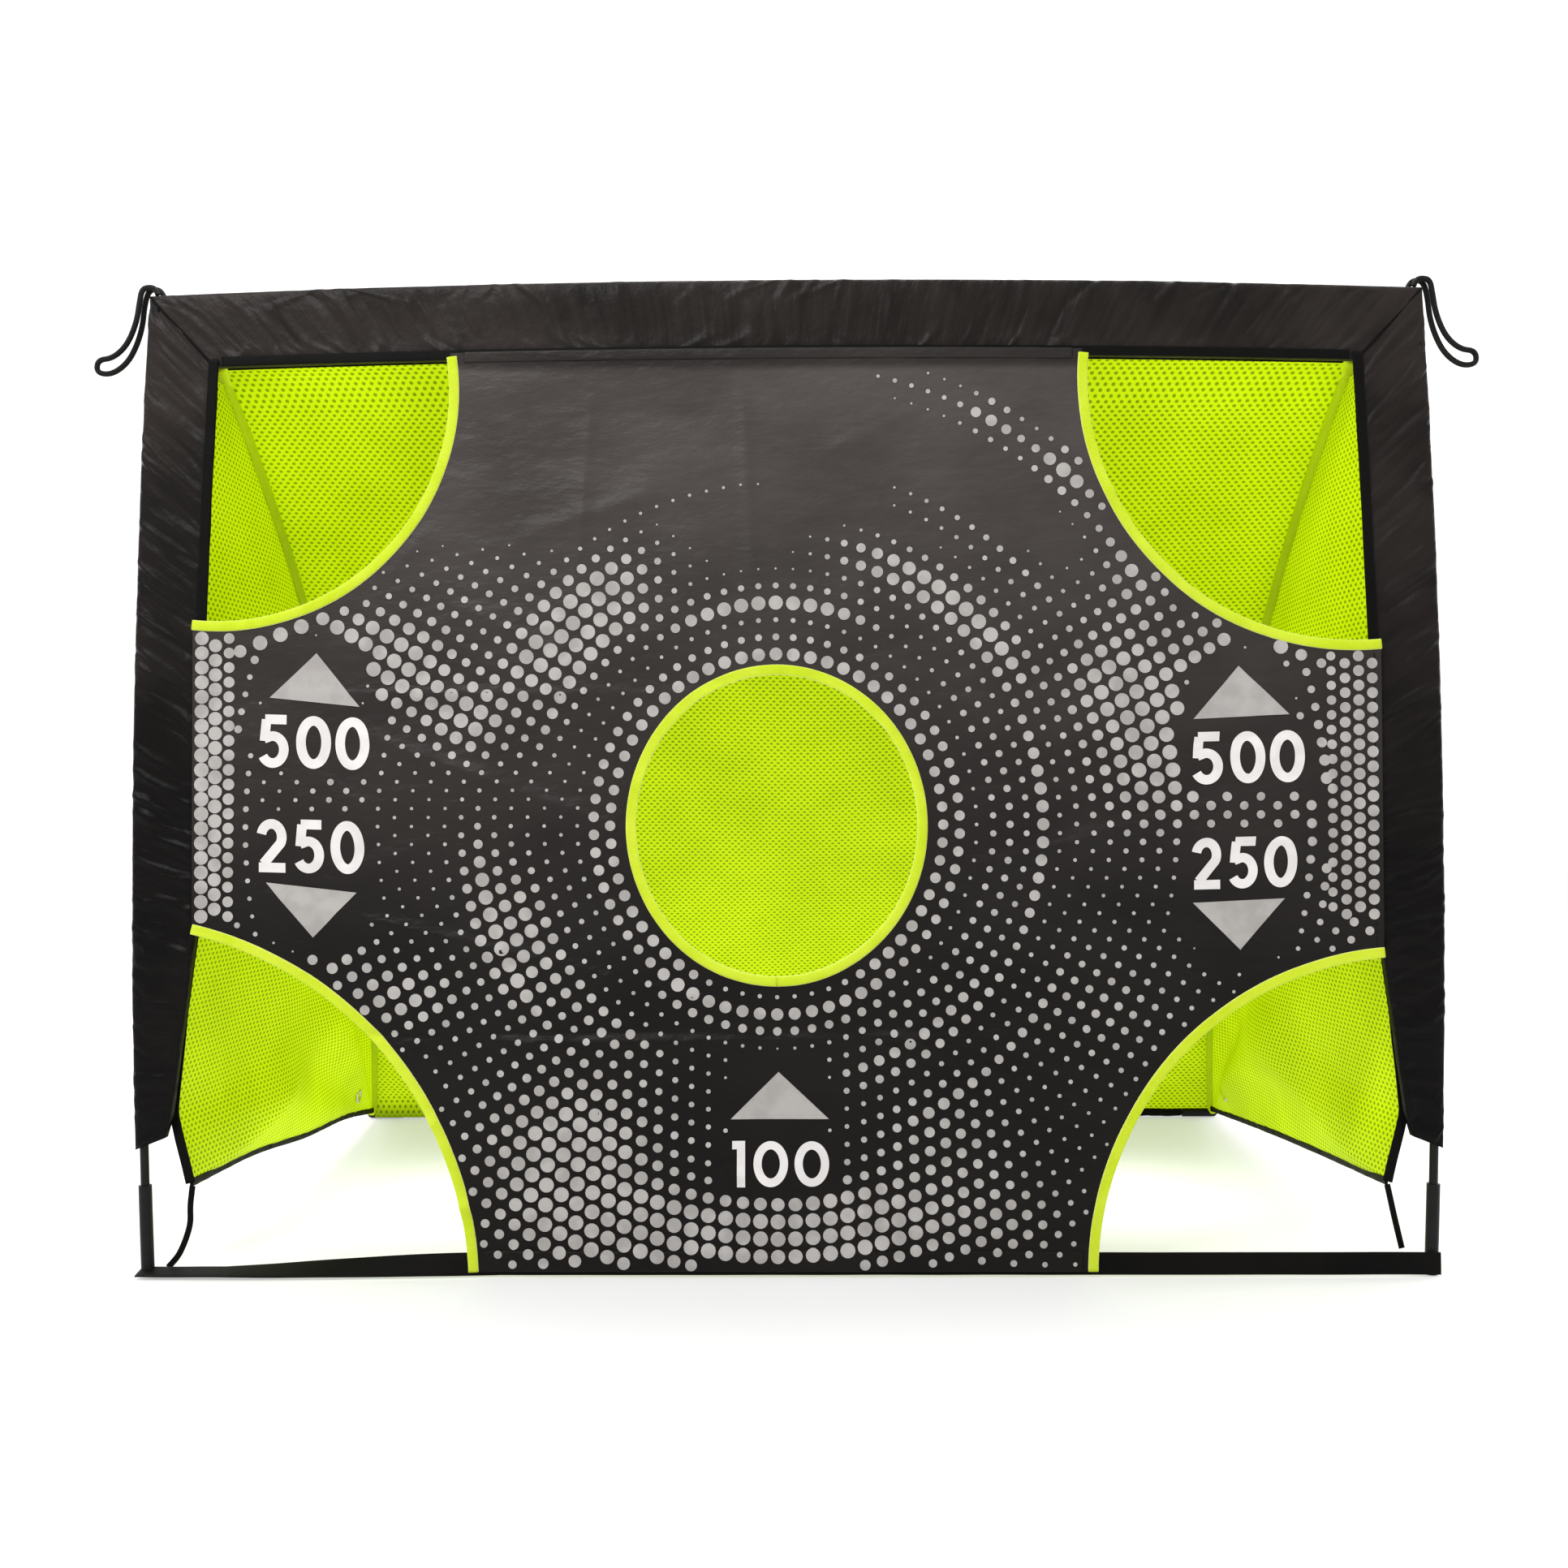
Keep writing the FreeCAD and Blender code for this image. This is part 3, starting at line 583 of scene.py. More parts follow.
def sleeve(name, outer, inner, half_t, height, spacing, rng, lean, nodes):
    """A flat cloth tube between an outer and an inner edge line, thickest along the rod by the outer edge."""
    outer, inner = np.asarray(outer, float), np.asarray(inner, float)
    centre = 0.5 * (outer + inner)
    half = 0.5 * np.linalg.norm(outer - inner, axis=1)
    across = unit(outer - inner)
    run = distances(centre)
    folds = gathers(rng, run[-1], spacing, height, lean)
    soft = waves(rng, 90.0, 8)

    def rough(i, c, s):
        along = run[i]
        depth = -0.2 * half_t * s * np.exp(-((c + 0.3) / 0.4) ** 2)
        side = np.where(s >= 0, 1.0, -1.0) * np.minimum(1.0, np.abs(s) * 1.6)
        wobble = folds(along + np.where(s < 0, 37.0, 0.0), c) + 0.6 * soft(along, c * 30.0)
        return depth + side * np.clip(wobble, -3.4, 2.2) * (1.0 - 0.3 * np.abs(c))
    return finish_piece(
        sweep(name, centre, across, FACING, half, half_t, SLEEVE, around=64, power=5.0, rough=rough),
        "front_frame", nodes)


def top_sleeve():
    u = np.linspace(-1.0, 1.0, 620)
    outer = points_at(604.5 * u, FRONT_Y, 928.5 + 11.5 * (1 - u ** 2))
    inner = points_at(541.0 * u, FRONT_Y, 860.0 + top_rise(541.0 * u))
    sleeve("sleeve_top_cloth", outer, inner, 6.9, 2.9, 11.0, default_rng(11), 46.0, ["sleeve_top"])


def side_sleeve(side, name, seed):
    z = np.linspace(928.5, 118.0, 520)
    outer = points_at(np.maximum(upright_x(z, 7.0), 604.5), FRONT_Y, z)
    inner_line = resample(INNER_EDGE, 2.0)
    share = np.linspace(0, 1, 520)
    where = np.linspace(0, 1, len(inner_line))
    inner = points_at(np.interp(share, where, inner_line[:, 0]), FRONT_Y,
                      np.interp(share, where, inner_line[:, 1]))
    sleeve(name + "_cloth", mirrored(outer, side), mirrored(inner, side), 6.6, 3.2, 5.0,
           default_rng(seed), 12.0, [name])


def mitre_seams():
    """The sewn joins between the top and side sleeves, on the front and the back."""
    for side, suffix in SIDES:
        for face, y in (("front", FRONT_Y - 6.4), ("back", FRONT_Y + 6.4)):
            line = resample([(602.5, y, 926.5), (543.0, y, 862.0)], 2.0)
            line = mirrored(line, side)
            across, _ = directions(line, FACING)
            piece = sweep("mitre_seam_%s_%s" % (face, suffix), line, across, FACING, 1.3, 0.7, SEAM_TAPE,
                          8, 2.0)
            finish_piece(piece, "front_frame")


mitre_seams()
top_sleeve()
side_sleeve(-1, "sleeve_left", 21)
side_sleeve(1, "sleeve_right", 22)


# ---------------------------------------------------------------- front frame: tapes and webbing
def tape(node, ending, line, half_w, half_t, waviness, seed, material=SEAM_TAPE, body="front_frame",
         around=16):
    """A flat tape that faces the front, along a line of points. Its name is the node's with the ending."""
    step = 3.0
    centre = smoothed(resample(line, step), 4)
    across, _ = directions(centre, FACING)
    rough = ripple(seed, 45.0, 6, np.arange(len(centre)) * step, waviness, half_w)
    piece = sweep(node + ending, centre, across, FACING, half_w, half_t, material, around, 4.0, rough)
    return finish_piece(piece, body, [node])


def edge_line(y, low_point=None):
    points = [(x, y, z) for x, z in INNER_EDGE if z > 232.0 or low_point is not None]
    points[0] = (541.0, y, 866.0)
    if low_point is None:
        return [p for p in points if p[2] > 335.0] + [(557.2, y, 322.0)]
    points = [(px + 5.6 * min(1.0, (pz - 120.0) / 60.0), py, pz) for px, py, pz in points]
    points[-1] = (low_point[0], y, low_point[1])
    return points


def frame_tapes():
    """Loop tapes on the sleeves' front, the net's binding behind them, and the ties to the feet."""
    for side, suffix in SIDES:
        loops, binding = (mirrored(line, side)
                          for line in (edge_line(FRONT_Y - 7.9), edge_line(FRONT_Y + 8.0, TIE_POINT)))
        tape("loop_tape_" + suffix, "_web", loops, 4.6, 0.8, 0.25, 31 + side)
        tape("net_binding_" + suffix, "_tape", binding, 4.6, 0.8, 0.35, 41 + side)
    x = np.linspace(-533.0, 533.0, 60)
    for node, ending, y, z, half_w, half_t, seed in (
        ("loop_tape_top", "_web", FRONT_Y - 8.1, 863.4, 4.6, 0.75, 51),
        ("net_binding_top", "_tape", FRONT_Y + 8.0, 864.6, 4.8, 0.8, 52),
    ):
        tape(node, ending, points_at(x, y, z + top_rise(x)), half_w, half_t, 0.2, seed)
    taut = [(566.5, FRONT_Y + 9.0, 81.0), (573.0, FRONT_Y + 9.8, 51.0), (580.0, FRONT_Y + 10.2, 21.0)]
    slack = [(-565.0, FRONT_Y + 9.5, 81.0), (-567.5, FRONT_Y + 10.2, 62.0), (-567.0, FRONT_Y + 10.6, 46.0),
             (-571.5, FRONT_Y + 10.6, 30.0), (-578.0, FRONT_Y + 10.2, 15.0), (-588.0, FRONT_Y + 9.8, 4.0)]
    tape("foot_tie_right", "_tape", taut, 2.9, 0.6, 0.2, 61, WEBBING, around=12)
    tape("foot_tie_left", "_tape", slack, 2.9, 0.6, 0.2, 62, WEBBING, around=12)


def ground_strap():
    """Webbing on edge between the feet. Its left end has twisted to lie almost flat."""
    x = np.linspace(609.0, -609.0, 410)
    loosened = np.clip((-270.0 - x) / 260.0, 0, 1)
    turn = math.radians(80.0) * loosened ** 0.75
    half_w = 10.5
    y = FRONT_Y - 7.5 + 1.2 * np.sin(x / 55.0) * loosened
    z = half_w * np.cos(turn) + 1.4 + 1.2 * loosened
    centre = points_at(x, y, z)
    across = points_at(0.0, np.sin(turn), np.cos(turn))
    normal = points_at(0.0, -np.cos(turn), np.sin(turn))
    piece = sweep("ground_strap_web", centre, across, normal, half_w, 0.85, WEBBING, 18, 4.0,
                  ripple(71, 110.0, 6, x, 0.35, half_w))
    finish_piece(piece, "front_frame", ["ground_strap"])


frame_tapes()
ground_strap()


# ---------------------------------------------------------------- target sheet
RNG = default_rng(7)
BROAD = waves(RNG, 300.0, 8)
MIDDLE = waves(RNG, 110.0, 10)
# Creases: from x, z to x, z, width and height
FOLDS = [
    (-545.0, 372.0, 40.0, 230.0, 5.0, 1.3), (-120.0, 560.0, 250.0, 545.0, 4.0, -1.0),
    (-470.0, 548.0, -60.0, 545.0, 4.0, 1.1), (-430.0, 520.0, -140.0, 415.0, 5.0, 1.4),
    (140.0, 372.0, 520.0, 470.0, 5.0, 1.3), (150.0, 455.0, 540.0, 520.0, 5.0, -1.2),
    (-560.0, 224.0, 430.0, 236.0, 3.5, -1.0), (-300.0, 219.0, 300.0, 222.0, 3.0, 0.8),
    (-40.0, 860.0, -30.0, 640.0, 5.0, 0.9), (-180.0, 860.0, -200.0, 600.0, 5.0, 0.8),
    (20.0, 250.0, 330.0, 150.0, 6.0, 1.4), (-260.0, 300.0, -120.0, 60.0, 6.0, 1.3),
    (160.0, 700.0, 420.0, 560.0, 6.0, -1.1), (-330.0, 640.0, -160.0, 560.0, 6.0, 1.0),
    (330.0, 420.0, 540.0, 400.0, 5.0, 1.2), (-200.0, 160.0, 90.0, 40.0, 6.0, 1.2),
]
for _ in range(46):
    a, b = RNG.uniform(-520, 520), RNG.uniform(30, 850)
    bearing, reach = RNG.uniform(-0.9, 0.9), RNG.uniform(50, 190)
    FOLDS.append((a, b, a + reach * math.cos(bearing), b + reach * math.sin(bearing),
                  RNG.uniform(4.5, 8.0), RNG.uniform(-1.0, 1.2)))
FOLD = creases(FOLDS)


def sheet_y(x, z, lift=0.0):
    """The sheet's surface, lift mm in front of it. It is held flat along its edges."""
    edge = np.minimum(np.minimum(SHEET_HALF_W - np.abs(x), SHEET_TOP - z), z - SHEET_LOW + 20.0)
    loose = 0.12 + 0.88 * np.clip(edge / 70.0, 0, 1)
    wave = 1.5 * BROAD(x, z) + 0.8 * MIDDLE(x, z) + FOLD(x, z)
    return SHEET_Y - loose * np.maximum(wave, -2.2) - lift


def in_opening(x, z, grow):
    """True inside any opening made larger by grow."""
    hx, hz, ha, hb = HOLE
    inside = ((x - hx) / (ha + grow)) ** 2 + ((z - hz) / (hb + grow)) ** 2 < 1.0
    for cx, cz, radius in CUT_OUTS.values():
        inside = inside | (np.hypot(x - cx, z - cz) < radius + grow)
    return inside


def target_sheet():
    columns = np.linspace(-SHEET_HALF_W, SHEET_HALF_W, 400)
    rows = np.linspace(SHEET_LOW, SHEET_TOP - 2.0, 310)
    x, z = np.meshgrid(columns, rows)
    z = z + top_rise(x) * np.clip((z - 700.0) / 165.0, 0, 1) * 0.9
    points = points_at(x, sheet_y(x, z), z)
    mid_x, mid_z = 0.5 * (x[:-1, :-1] + x[1:, 1:]), 0.5 * (z[:-1, :-1] + z[1:, 1:])
    keep = ~in_opening(mid_x, mid_z, 5.0)
    piece = grid_mesh("target_sheet_cloth", points, np.stack([x, z], -1) * 0.001, SHEET, keep)
    area = float(np.count_nonzero(keep)) * (columns[1] - columns[0]) * (rows[1] - rows[0]) * 1e-6
    finish_piece(piece, "target_sheet", ["target_sheet"])
    return piece, area


def sheet_tape(node, ending, x, z, half_w, half_t, material, lift=0.0, seed=3):
    """A tape sewn on the sheet along a line in its plane."""
    step = 2.5
    line = resample(np.stack([x, z], -1), step)
    across, _ = directions(points_at(line[:, 0], 0.0, line[:, 1]), FACING)
    centre = points_at(line[:, 0], sheet_y(line[:, 0], line[:, 1], lift), line[:, 1])
    fine = ripple(seed, 26.0, 6, np.arange(len(line)) * step, 0.22, half_w)

    def rough(i, c, s):
        slope = sheet_y(line[i, 0] + across[i, 0] * half_w * c, line[i, 1] + across[i, 2] * half_w * c, lift)
        return (centre[i, 1] - slope) + fine(i, c, s)
    piece = sweep(node + ending, centre, across, FACING, half_w, half_t, material, 18, 3.2, rough)
    return finish_piece(piece, "target_sheet", [node])


def bindings():
    """Lime tape round the centre hole and along the arc of each corner cut-out."""
    half_w, half_t, off_edge = 4.9, 1.5, 4.8
    hx, hz, ha, hb = HOLE
    turn = np.linspace(-math.pi / 2, 1.5 * math.pi, 241)
    sheet_tape("binding_centre", "_tape", hx + (ha + off_edge) * np.cos(turn),
               hz + (hb + off_edge) * np.sin(turn), half_w, half_t, BINDING)
    turn = np.linspace(0, 2 * math.pi, 1441)
    for number, (name, (cx, cz, radius)) in enumerate(CUT_OUTS.items()):
        x, z = cx + (radius + off_edge) * np.cos(turn), cz + (radius + off_edge) * np.sin(turn)
        inside = (np.abs(x) < SHEET_HALF_W + 1.0) & (z > SHEET_LOW) & (z < SHEET_TOP)
        start = int(np.nonzero(inside & ~np.roll(inside, 1))[0][0])
        picked = [k for k in (np.arange(1440) + start) % 1440 if inside[k]]
        sheet_tape("binding_" + name, "_tape", x[picked], z[picked], half_w, half_t, BINDING,
                   seed=80 + number)


NUMERALS = [
    ("500", -499, -389, 476, 527, 0.035), ("250", -499, -394, 378, 429, 0.03),
    ("500", 378, 488, 459, 509, -0.02), ("250", 378, 480, 361, 410, -0.02), ("100", -55, 43, 84, 127, 0.0),
]


# Radius, width, first and last bearing in degrees, dot radius
DOT_RINGS = [
    (164, 13, -62, 242, 4.9), (211, 13, 66, 118, 5.4), (276, 32, 116, 152, 6.8), (236, 17, 120, 160, 3.6),
    (266, 23, 30, 77, 6.0), (330, 16, 40, 70, 3.0), (246, 10, -24, 24, 4.8), (212, 12, -70, 40, 2.6),
    (182, 14, 232, 304, 4.8), (282, 20, 183, 218, 5.2), (245, 12, 190, 240, 3.4), (244, 18, 285, 328, 3.9),
    (300, 14, 296, 330, 2.4), (320, 12, 90, 118, 1.6),
]
# Middle x and z, reach along x and z, dot radius
DOT_PATCHES = [
    (-552, 470, 34, 170, 7.6), (-480, 606, 80, 24, 6.6), (-370, 575, 66, 46, 6.4), (-300, 520, 44, 34, 5.4),
    (345, 480, 66, 66, 5.8), (300, 560, 44, 44, 4.8), (548, 450, 54, 140, 6.2), (470, 600, 70, 26, 5.2),
    (-360, 262, 64, 34, 4.8), (-440, 300, 50, 26, 3.8), (-200, 100, 94, 100, 6.9), (-60, 40, 120, 36, 6.2),
    (80, 50, 94, 44, 5.4), (150, 130, 70, 50, 3.4), (210, 50, 60, 40, 3.0), (330, 640, 40, 50, 3.2),
    (300, 250, 70, 60, 2.6), (-280, 650, 80, 40, 1.8), (-240, 330, 60, 60, 2.0), (400, 560, 60, 40, 4.4),
    (450, 440, 60, 90, 2.0), (-420, 480, 40, 60, 1.8),
]
# From x, z to x, z, width, dot radius
DOT_STREAMS = [
    (100, 846, 200, 804, 20, 2.2), (190, 808, 270, 750, 20, 3.4), (260, 758, 330, 672, 22, 3.6),
]
# Upright columns of dots at the sheet's sides: side, where they start, middle and half height, dot radii
EDGE_COLUMNS = ((-1, -518.0, 470.0, 132.0, (7.0, 6.7, 5.6)), (1, 506.0, 455.0, 118.0, (5.6, 5.7, 5.4, 4.8)))
# Middles of the triangles with their numerals, which the dots stay clear of
MARK_MIDDLES = ((-444, 558), (-445, 348), (427, 542), (425, 334), (-7, 164))


def dot_size(x, z):
    """Radius of the printed dots in mm: rings round the centre hole, and dense fields at the sides."""
    dx, dz = x - HOLE[0], z - HOLE[1]
    reach, bearing = np.hypot(dx, dz), np.degrees(np.arctan2(dz, dx))

    def ring(radius, width, start, end, size):
        middle, half = 0.5 * (start + end), 0.5 * (end - start)
        off = np.abs((bearing - middle + 180.0) % 360.0 - 180.0)
        return size * np.exp(-((reach - radius) / width) ** 2) / (1.0 + np.exp((off - half) / 4.0))

    def patch(px, pz, wide, high, size):
        return size * np.exp(-((x - px) / wide) ** 2 - ((z - pz) / high) ** 2)

    def stream(x0, z0, x1, z1, width, size):
        run_x, run_z = x1 - x0, z1 - z0
        share = np.clip(((x - x0) * run_x + (z - z0) * run_z) / (run_x ** 2 + run_z ** 2), 0, 1)
        off = np.hypot(x - x0 - share * run_x, z - z0 - share * run_z)
        return size * np.exp(-(off / width) ** 2)
    size = 1.5 * np.clip((700.0 - z) / 60.0, 0, 1)
    for add, rows in ((ring, DOT_RINGS), (patch, DOT_PATCHES), (stream, DOT_STREAMS)):
        size = size + sum(add(*row) for row in rows)
    for mark_x, mark_z in MARK_MIDDLES:
        off = np.hypot((x - mark_x) * 0.9, z - mark_z) - 44.0
        size = size * np.clip(off / 8.0, 0.0, 1.0)
    return np.minimum(size, 7.0)


def print_mesh(name, points, faces, ink):
    """A printed shape on the sheet, its UV laid flat on it."""
    faces = np.asarray(faces)
    piece = add_mesh(name, points, faces.tolist(), points[faces.ravel()][:, [0, 2]] * 0.001, ink)
    finish_piece(piece, "target_sheet")


def print_dots():
    """Dots on rings round the hole: each ring has six more than the last, which keeps them about even."""
    ring_step, squeeze = 16.1, 0.97
    spots = []
    for ring in range(10, 50):
        radius = ring_step * ring
        for k in range(6 * ring):
            angle = math.pi / 2.0 + k * math.pi / (3.0 * ring)
            spots.append((HOLE[0] + radius * squeeze * math.cos(angle), HOLE[1] + radius * math.sin(angle)))
    spots = np.array(spots)
    x, z = spots[:, 0], spots[:, 1]
    size = dot_size(x, z)
    clear = np.ones(len(x), bool)
    for side, start, middle, half, _ in EDGE_COLUMNS:
        clear &= (side * x < side * start) | (np.abs(z - middle) > half)
    x, z, size = x[clear], z[clear], size[clear]
    row_step, column_step = 13.8, 12.8
    for side, _, middle, half, radii in EDGE_COLUMNS:
        for column, biggest in enumerate(radii):
            rows = np.arange(middle - half, middle + half, row_step) + 0.5 * row_step * (column % 2)
            x = np.concatenate([x, np.full(len(rows), side * (550.0 - column_step * column))])
            z = np.concatenate([z, rows])
            size = np.concatenate([size, biggest - 0.5 * np.abs(rows - middle) / half])
    inside = (np.abs(x) < 553) & (z > 11) & (z < 852) & ~in_opening(x, z, 15.0) & (size > 0.9)
    for _, x0, x1, z0, z1, _ in NUMERALS:
        inside &= np.maximum(np.maximum(x0 - x, x - x1), np.maximum(z0 - z, z - z1)) > size + 1.5
    x, z, size = x[inside], z[inside], size[inside]
    corners = 14
    angle = np.linspace(0, 2 * math.pi, corners, endpoint=False)
    px = np.concatenate([x[:, None], x[:, None] + size[:, None] * np.cos(angle)], 1)
    pz = np.concatenate([z[:, None], z[:, None] + size[:, None] * np.sin(angle)], 1)
    points = points_at(px, sheet_y(px, pz, np.where(pz < 27.0, 1.7, 0.5)), pz)
    base = np.arange(len(x))[:, None, None] * (corners + 1)
    rim = np.arange(corners)
    fan = np.stack([np.zeros(corners, int), 1 + rim, 1 + (rim + 1) % corners], -1)
    print_mesh("print_dots", points.reshape(-1, 3), (base + fan[None]).reshape(-1, 3), DOT_INK)


def arc_line(cx, cz, rx, rz, start, end, count=28):
    turn = np.radians(np.linspace(start, end, count))
    return np.stack([cx + rx * np.cos(turn), cz + rz * np.sin(turn)], -1)


def digit_strokes(digit):
    """Centre lines of a bold digit's strokes in a box 0..1 wide and 0..1 high."""
    if digit == "0":
        return [arc_line(0.5, 0.5, 0.36, 0.40, 0, 360, 48)]
    if digit == "1":
        return [np.array([(0.56, 0.0), (0.56, 1.0)]), np.array([(0.32, 0.91), (0.56, 0.91)])]
    if digit == "2":
        return [np.concatenate([arc_line(0.46, 0.66, 0.31, 0.24, 168, -28, 26), [(0.22, 0.16)]]),
                np.array([(0.08, 0.095), (0.88, 0.095)])]
    return [np.array([(0.22, 0.905), (0.84, 0.905)]), np.array([(0.26, 0.90), (0.205, 0.50)]),
            np.concatenate([[(0.20, 0.545)], arc_line(0.45, 0.345, 0.325, 0.25, 118, -150, 30)])]


def add_digits(text, x0, x1, z0, z1, slope, points, faces):
    """Adds a row of digits between x0 and x1, z0 and z1, that drops by slope per mm to the right."""
    widths = {"1": 0.52}
    total = sum(widths.get(d, 0.94) for d in text)
    unit_w = (x1 - x0) / total
    pen = x0
    thick = 0.178 * (z1 - z0)
    for digit in text:
        width = widths.get(digit, 0.94) * unit_w
        for layer, stroke in enumerate(digit_strokes(digit)):
            narrow = np.stack([0.5 * width / unit_w + (stroke[:, 0] - 0.5) * 0.84, stroke[:, 1]], -1)
            line = resample(narrow * np.array([unit_w, z1 - z0]), 1.2)
            tangent = unit(np.gradient(line, axis=0))
            if np.linalg.norm(line[0] - line[-1]) < 0.5:
                tangent[0] = tangent[-1] = unit(tangent[0] + tangent[-1])
            square = np.stack([-tangent[:, 1], tangent[:, 0]], -1)
            shares = np.linspace(-0.5, 0.5, 5)
            px = pen + line[:, None, 0] + square[:, None, 0] * thick * shares
            pz = z0 + line[:, None, 1] + square[:, None, 1] * thick * shares
            pz = pz - slope * (px - 0.5 * (x0 + x1))
            grid = points_at(px, sheet_y(px, pz, 0.6 + 0.04 * layer), pz)
            faces.append(sum(len(block) for block in points) + grid_quads(*px.shape).reshape(-1, 4))
            points.append(grid.reshape(-1, 3))
        pen += width


def print_numerals():
    points, faces = [], []
    for text, x0, x1, z0, z1, slope in NUMERALS:
        add_digits(text, x0, x1, z0, z1, slope, points, faces)
    print_mesh("print_numerals", np.concatenate(points), np.concatenate(faces), WHITE_INK)


def print_marks():
    """The five triangles beside the numerals."""
    triangles = [((-442, 586), (-486, 544), (-401, 535)), ((-488, 370), (-403, 360), (-444, 318)),
                 ((426, 570), (383, 520), (472, 524)), ((381, 348), (467, 352), (425, 304)),
                 ((-7, 191), (-52, 147), (40, 147))]
    points, faces = [], []
    count = 14
    for a, b, c in triangles:
        a, b, c = (np.array(p, float) for p in (a, b, c))
        start = len(points)
        for i in range(count + 1):
            for j in range(count + 1 - i):
                x, z = a + (b - a) * i / count + (c - a) * j / count
                points.append((x, float(sheet_y(x, z, 0.6)), z))

        def at(i, j):
            return start + i * (count + 1) - i * (i - 1) // 2 + j
        for i in range(count):
            for j in range(count - i):
                faces.append((at(i, j), at(i + 1, j), at(i, j + 1)))
                if i + j < count - 1:
                    faces.append((at(i + 1, j), at(i + 1, j + 1), at(i, j + 1)))
    print_mesh("print_marks", np.array(points), faces, MARK_INK)


def hems_and_hooks():
    x = np.linspace(-302.0, 272.0, 40)
    sheet_tape("sheet_top_hem", "_band", x, 860.5 + 0.9 * top_rise(x), 5.0, 1.1, SHEET,
               0.2, 91)
    sheet_tape("sheet_bottom_hem", "_band", (-283.0, 276.0), (15.0, 15.0), 9.5, 1.1, SHEET,
               0.2, 92)
    y = FRONT_Y - 9.5
    for place, line, half_w, half_t, seed in (
        ("top", [(-300.0, y, 860.0), (262.0, y, 860.0)], 6.0, 0.6, 93),
        ("bottom", [(-280.0, FRONT_Y - 9.3, 13.0), (270.0, FRONT_Y - 9.3, 13.0)], 6.0, 0.7, 94),
        ("left", [(-550.5, y, 575.0), (-554.0, y, 352.0)], 4.4, 0.6, 95),
        ("right", [(550.5, y, 575.0), (554.0, y, 352.0)], 4.4, 0.6, 95),
    ):
        tape("hook_tape_" + place, "_web", line, half_w, half_t, 0.0, seed, body="target_sheet")


cloth, cloth_area = target_sheet()
bindings()
print_dots()
print_numerals()
print_marks()
hems_and_hooks()


# ---------------------------------------------------------------- net frame
CHORD = REAR_CORNER - HINGE
LENGTH_YZ = math.hypot(CHORD[1], CHORD[2])
OUTWARD = np.array([0.0, -CHORD[2] / LENGTH_YZ, CHORD[1] / LENGTH_YZ])


def stay_point(s):
    """The right stay from the hinge (0) to the rear corner (1)."""
    s = np.asarray(s, float)[..., None]
    bow = 4.0 * s * (1.0 - s)
    return HINGE + CHORD * s + OUTWARD * 45.0 * bow - np.array([35.0, 0.0, 0.0]) * bow


def stay_tunnel(side, suffix):
    s = np.linspace(0.022, 0.998, 430)
    centre = stay_point(s)
    fullness = 1.0 + 0.35 * np.clip((0.06 - s) / 0.02, 0, 1)
    sideways, upward = directions(centre, OUTWARD)
    piece = sweep("stay_tunnel_" + suffix + "_cloth", mirrored(centre, side), mirrored(sideways, side),
                  mirrored(upward, side), 7.4 * fullness, 7.2 * fullness, TUNNEL, 20, 2.2,
                  ripple(101 + side, 30.0, 8, s * 1160.0, 0.35, 8.0))
    finish_piece(piece, "net_frame", ["stay_tunnel_" + suffix])


def ground_hem():
    x = np.linspace(-554.0, 554.0, 560)
    centre = points_at(x, REAR_Y, 6.6)
    piece = sweep("ground_bar_hem_cloth", centre, np.array([0.0, 1.0, 0.0]), UP, 6.0, 5.9, WEBBING, 20, 2.2,
                  ripple(111, 24.0, 10, x, 0.3, 9.0))
    finish_piece(piece, "net_frame", ["ground_bar_hem"])


def back_net():
    """The panel between the stays, sewn to the front frame's top binding, the stays and the ground bar."""
    s, q = np.meshgrid(np.linspace(0.0, 0.995, 190), np.linspace(-1.0, 1.0, 230), indexing="ij")
    edge = stay_point(s)
    half = edge[..., 0] - 5.0
    top = np.array([0.0, FRONT_Y + 8.4, 861.0])
    join = np.clip(s / 0.07, 0, 1)
    join = (join * join * (3 - 2 * join))[..., None]
    points = top * (1.0 - join) + edge * join
    points[..., 0] = q * (534.0 * (1.0 - join[..., 0]) + half * join[..., 0])
    points[..., 2] += (1.0 - join[..., 0]) * (4.0 + top_rise(points[..., 0]))
    slack = np.clip(s * 6.0, 0, 1) * np.clip((1.0 - s) * 12.0, 0, 1) * (1.0 - q ** 4)
    drop = 16.0 * slack * np.sin(math.pi * s)
    wave = waves(default_rng(121), 340.0, 10)
    along_x, along_s = q * 560.0, s * 1150.0
    fold = 2.4 * wave(along_x, along_s)
    for corner in (-1.0, 1.0):
        dx, ds = 600.0 - corner * along_x, 1150.0 - along_s
        bearing = np.arctan2(ds, np.maximum(dx, 1.0))
        far = np.hypot(dx, ds)
        fold = fold + 4.2 * np.sin(bearing * 15.0 + corner) * np.exp(-((far - 260.0) / 260.0) ** 2)
    points = points + OUTWARD * (slack * (fold - drop))[..., None]
    drape = np.clip((-300.0 - points[..., 0]) / 120.0, 0, 1) * np.clip((s - 0.965) / 0.02, 0, 1)
    points[..., 1] += drape * (REAR_Y - 8.5 - points[..., 1])
    points[..., 2] = np.maximum(points[..., 2] - drape * np.clip((s - 0.975) / 0.015, 0, 1) * 12.0, 2.0)
    uv = np.stack([points[..., 0], along_s], -1) * 0.001
    piece = grid_mesh("back_net_cloth", points, uv, MESH)
    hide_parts("back_net")
    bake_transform(piece)
    return piece


Band = namedtuple("Band", "low high piece at_stay at_front width length area")
# Where a side panel is cut into bands, by distance from the fold axis: finer where a step shows more.
BAND_EDGES = [38.0 * 1.18 ** k for k in range(12)] + [277.0 * 1.09 ** k for k in range(18)]
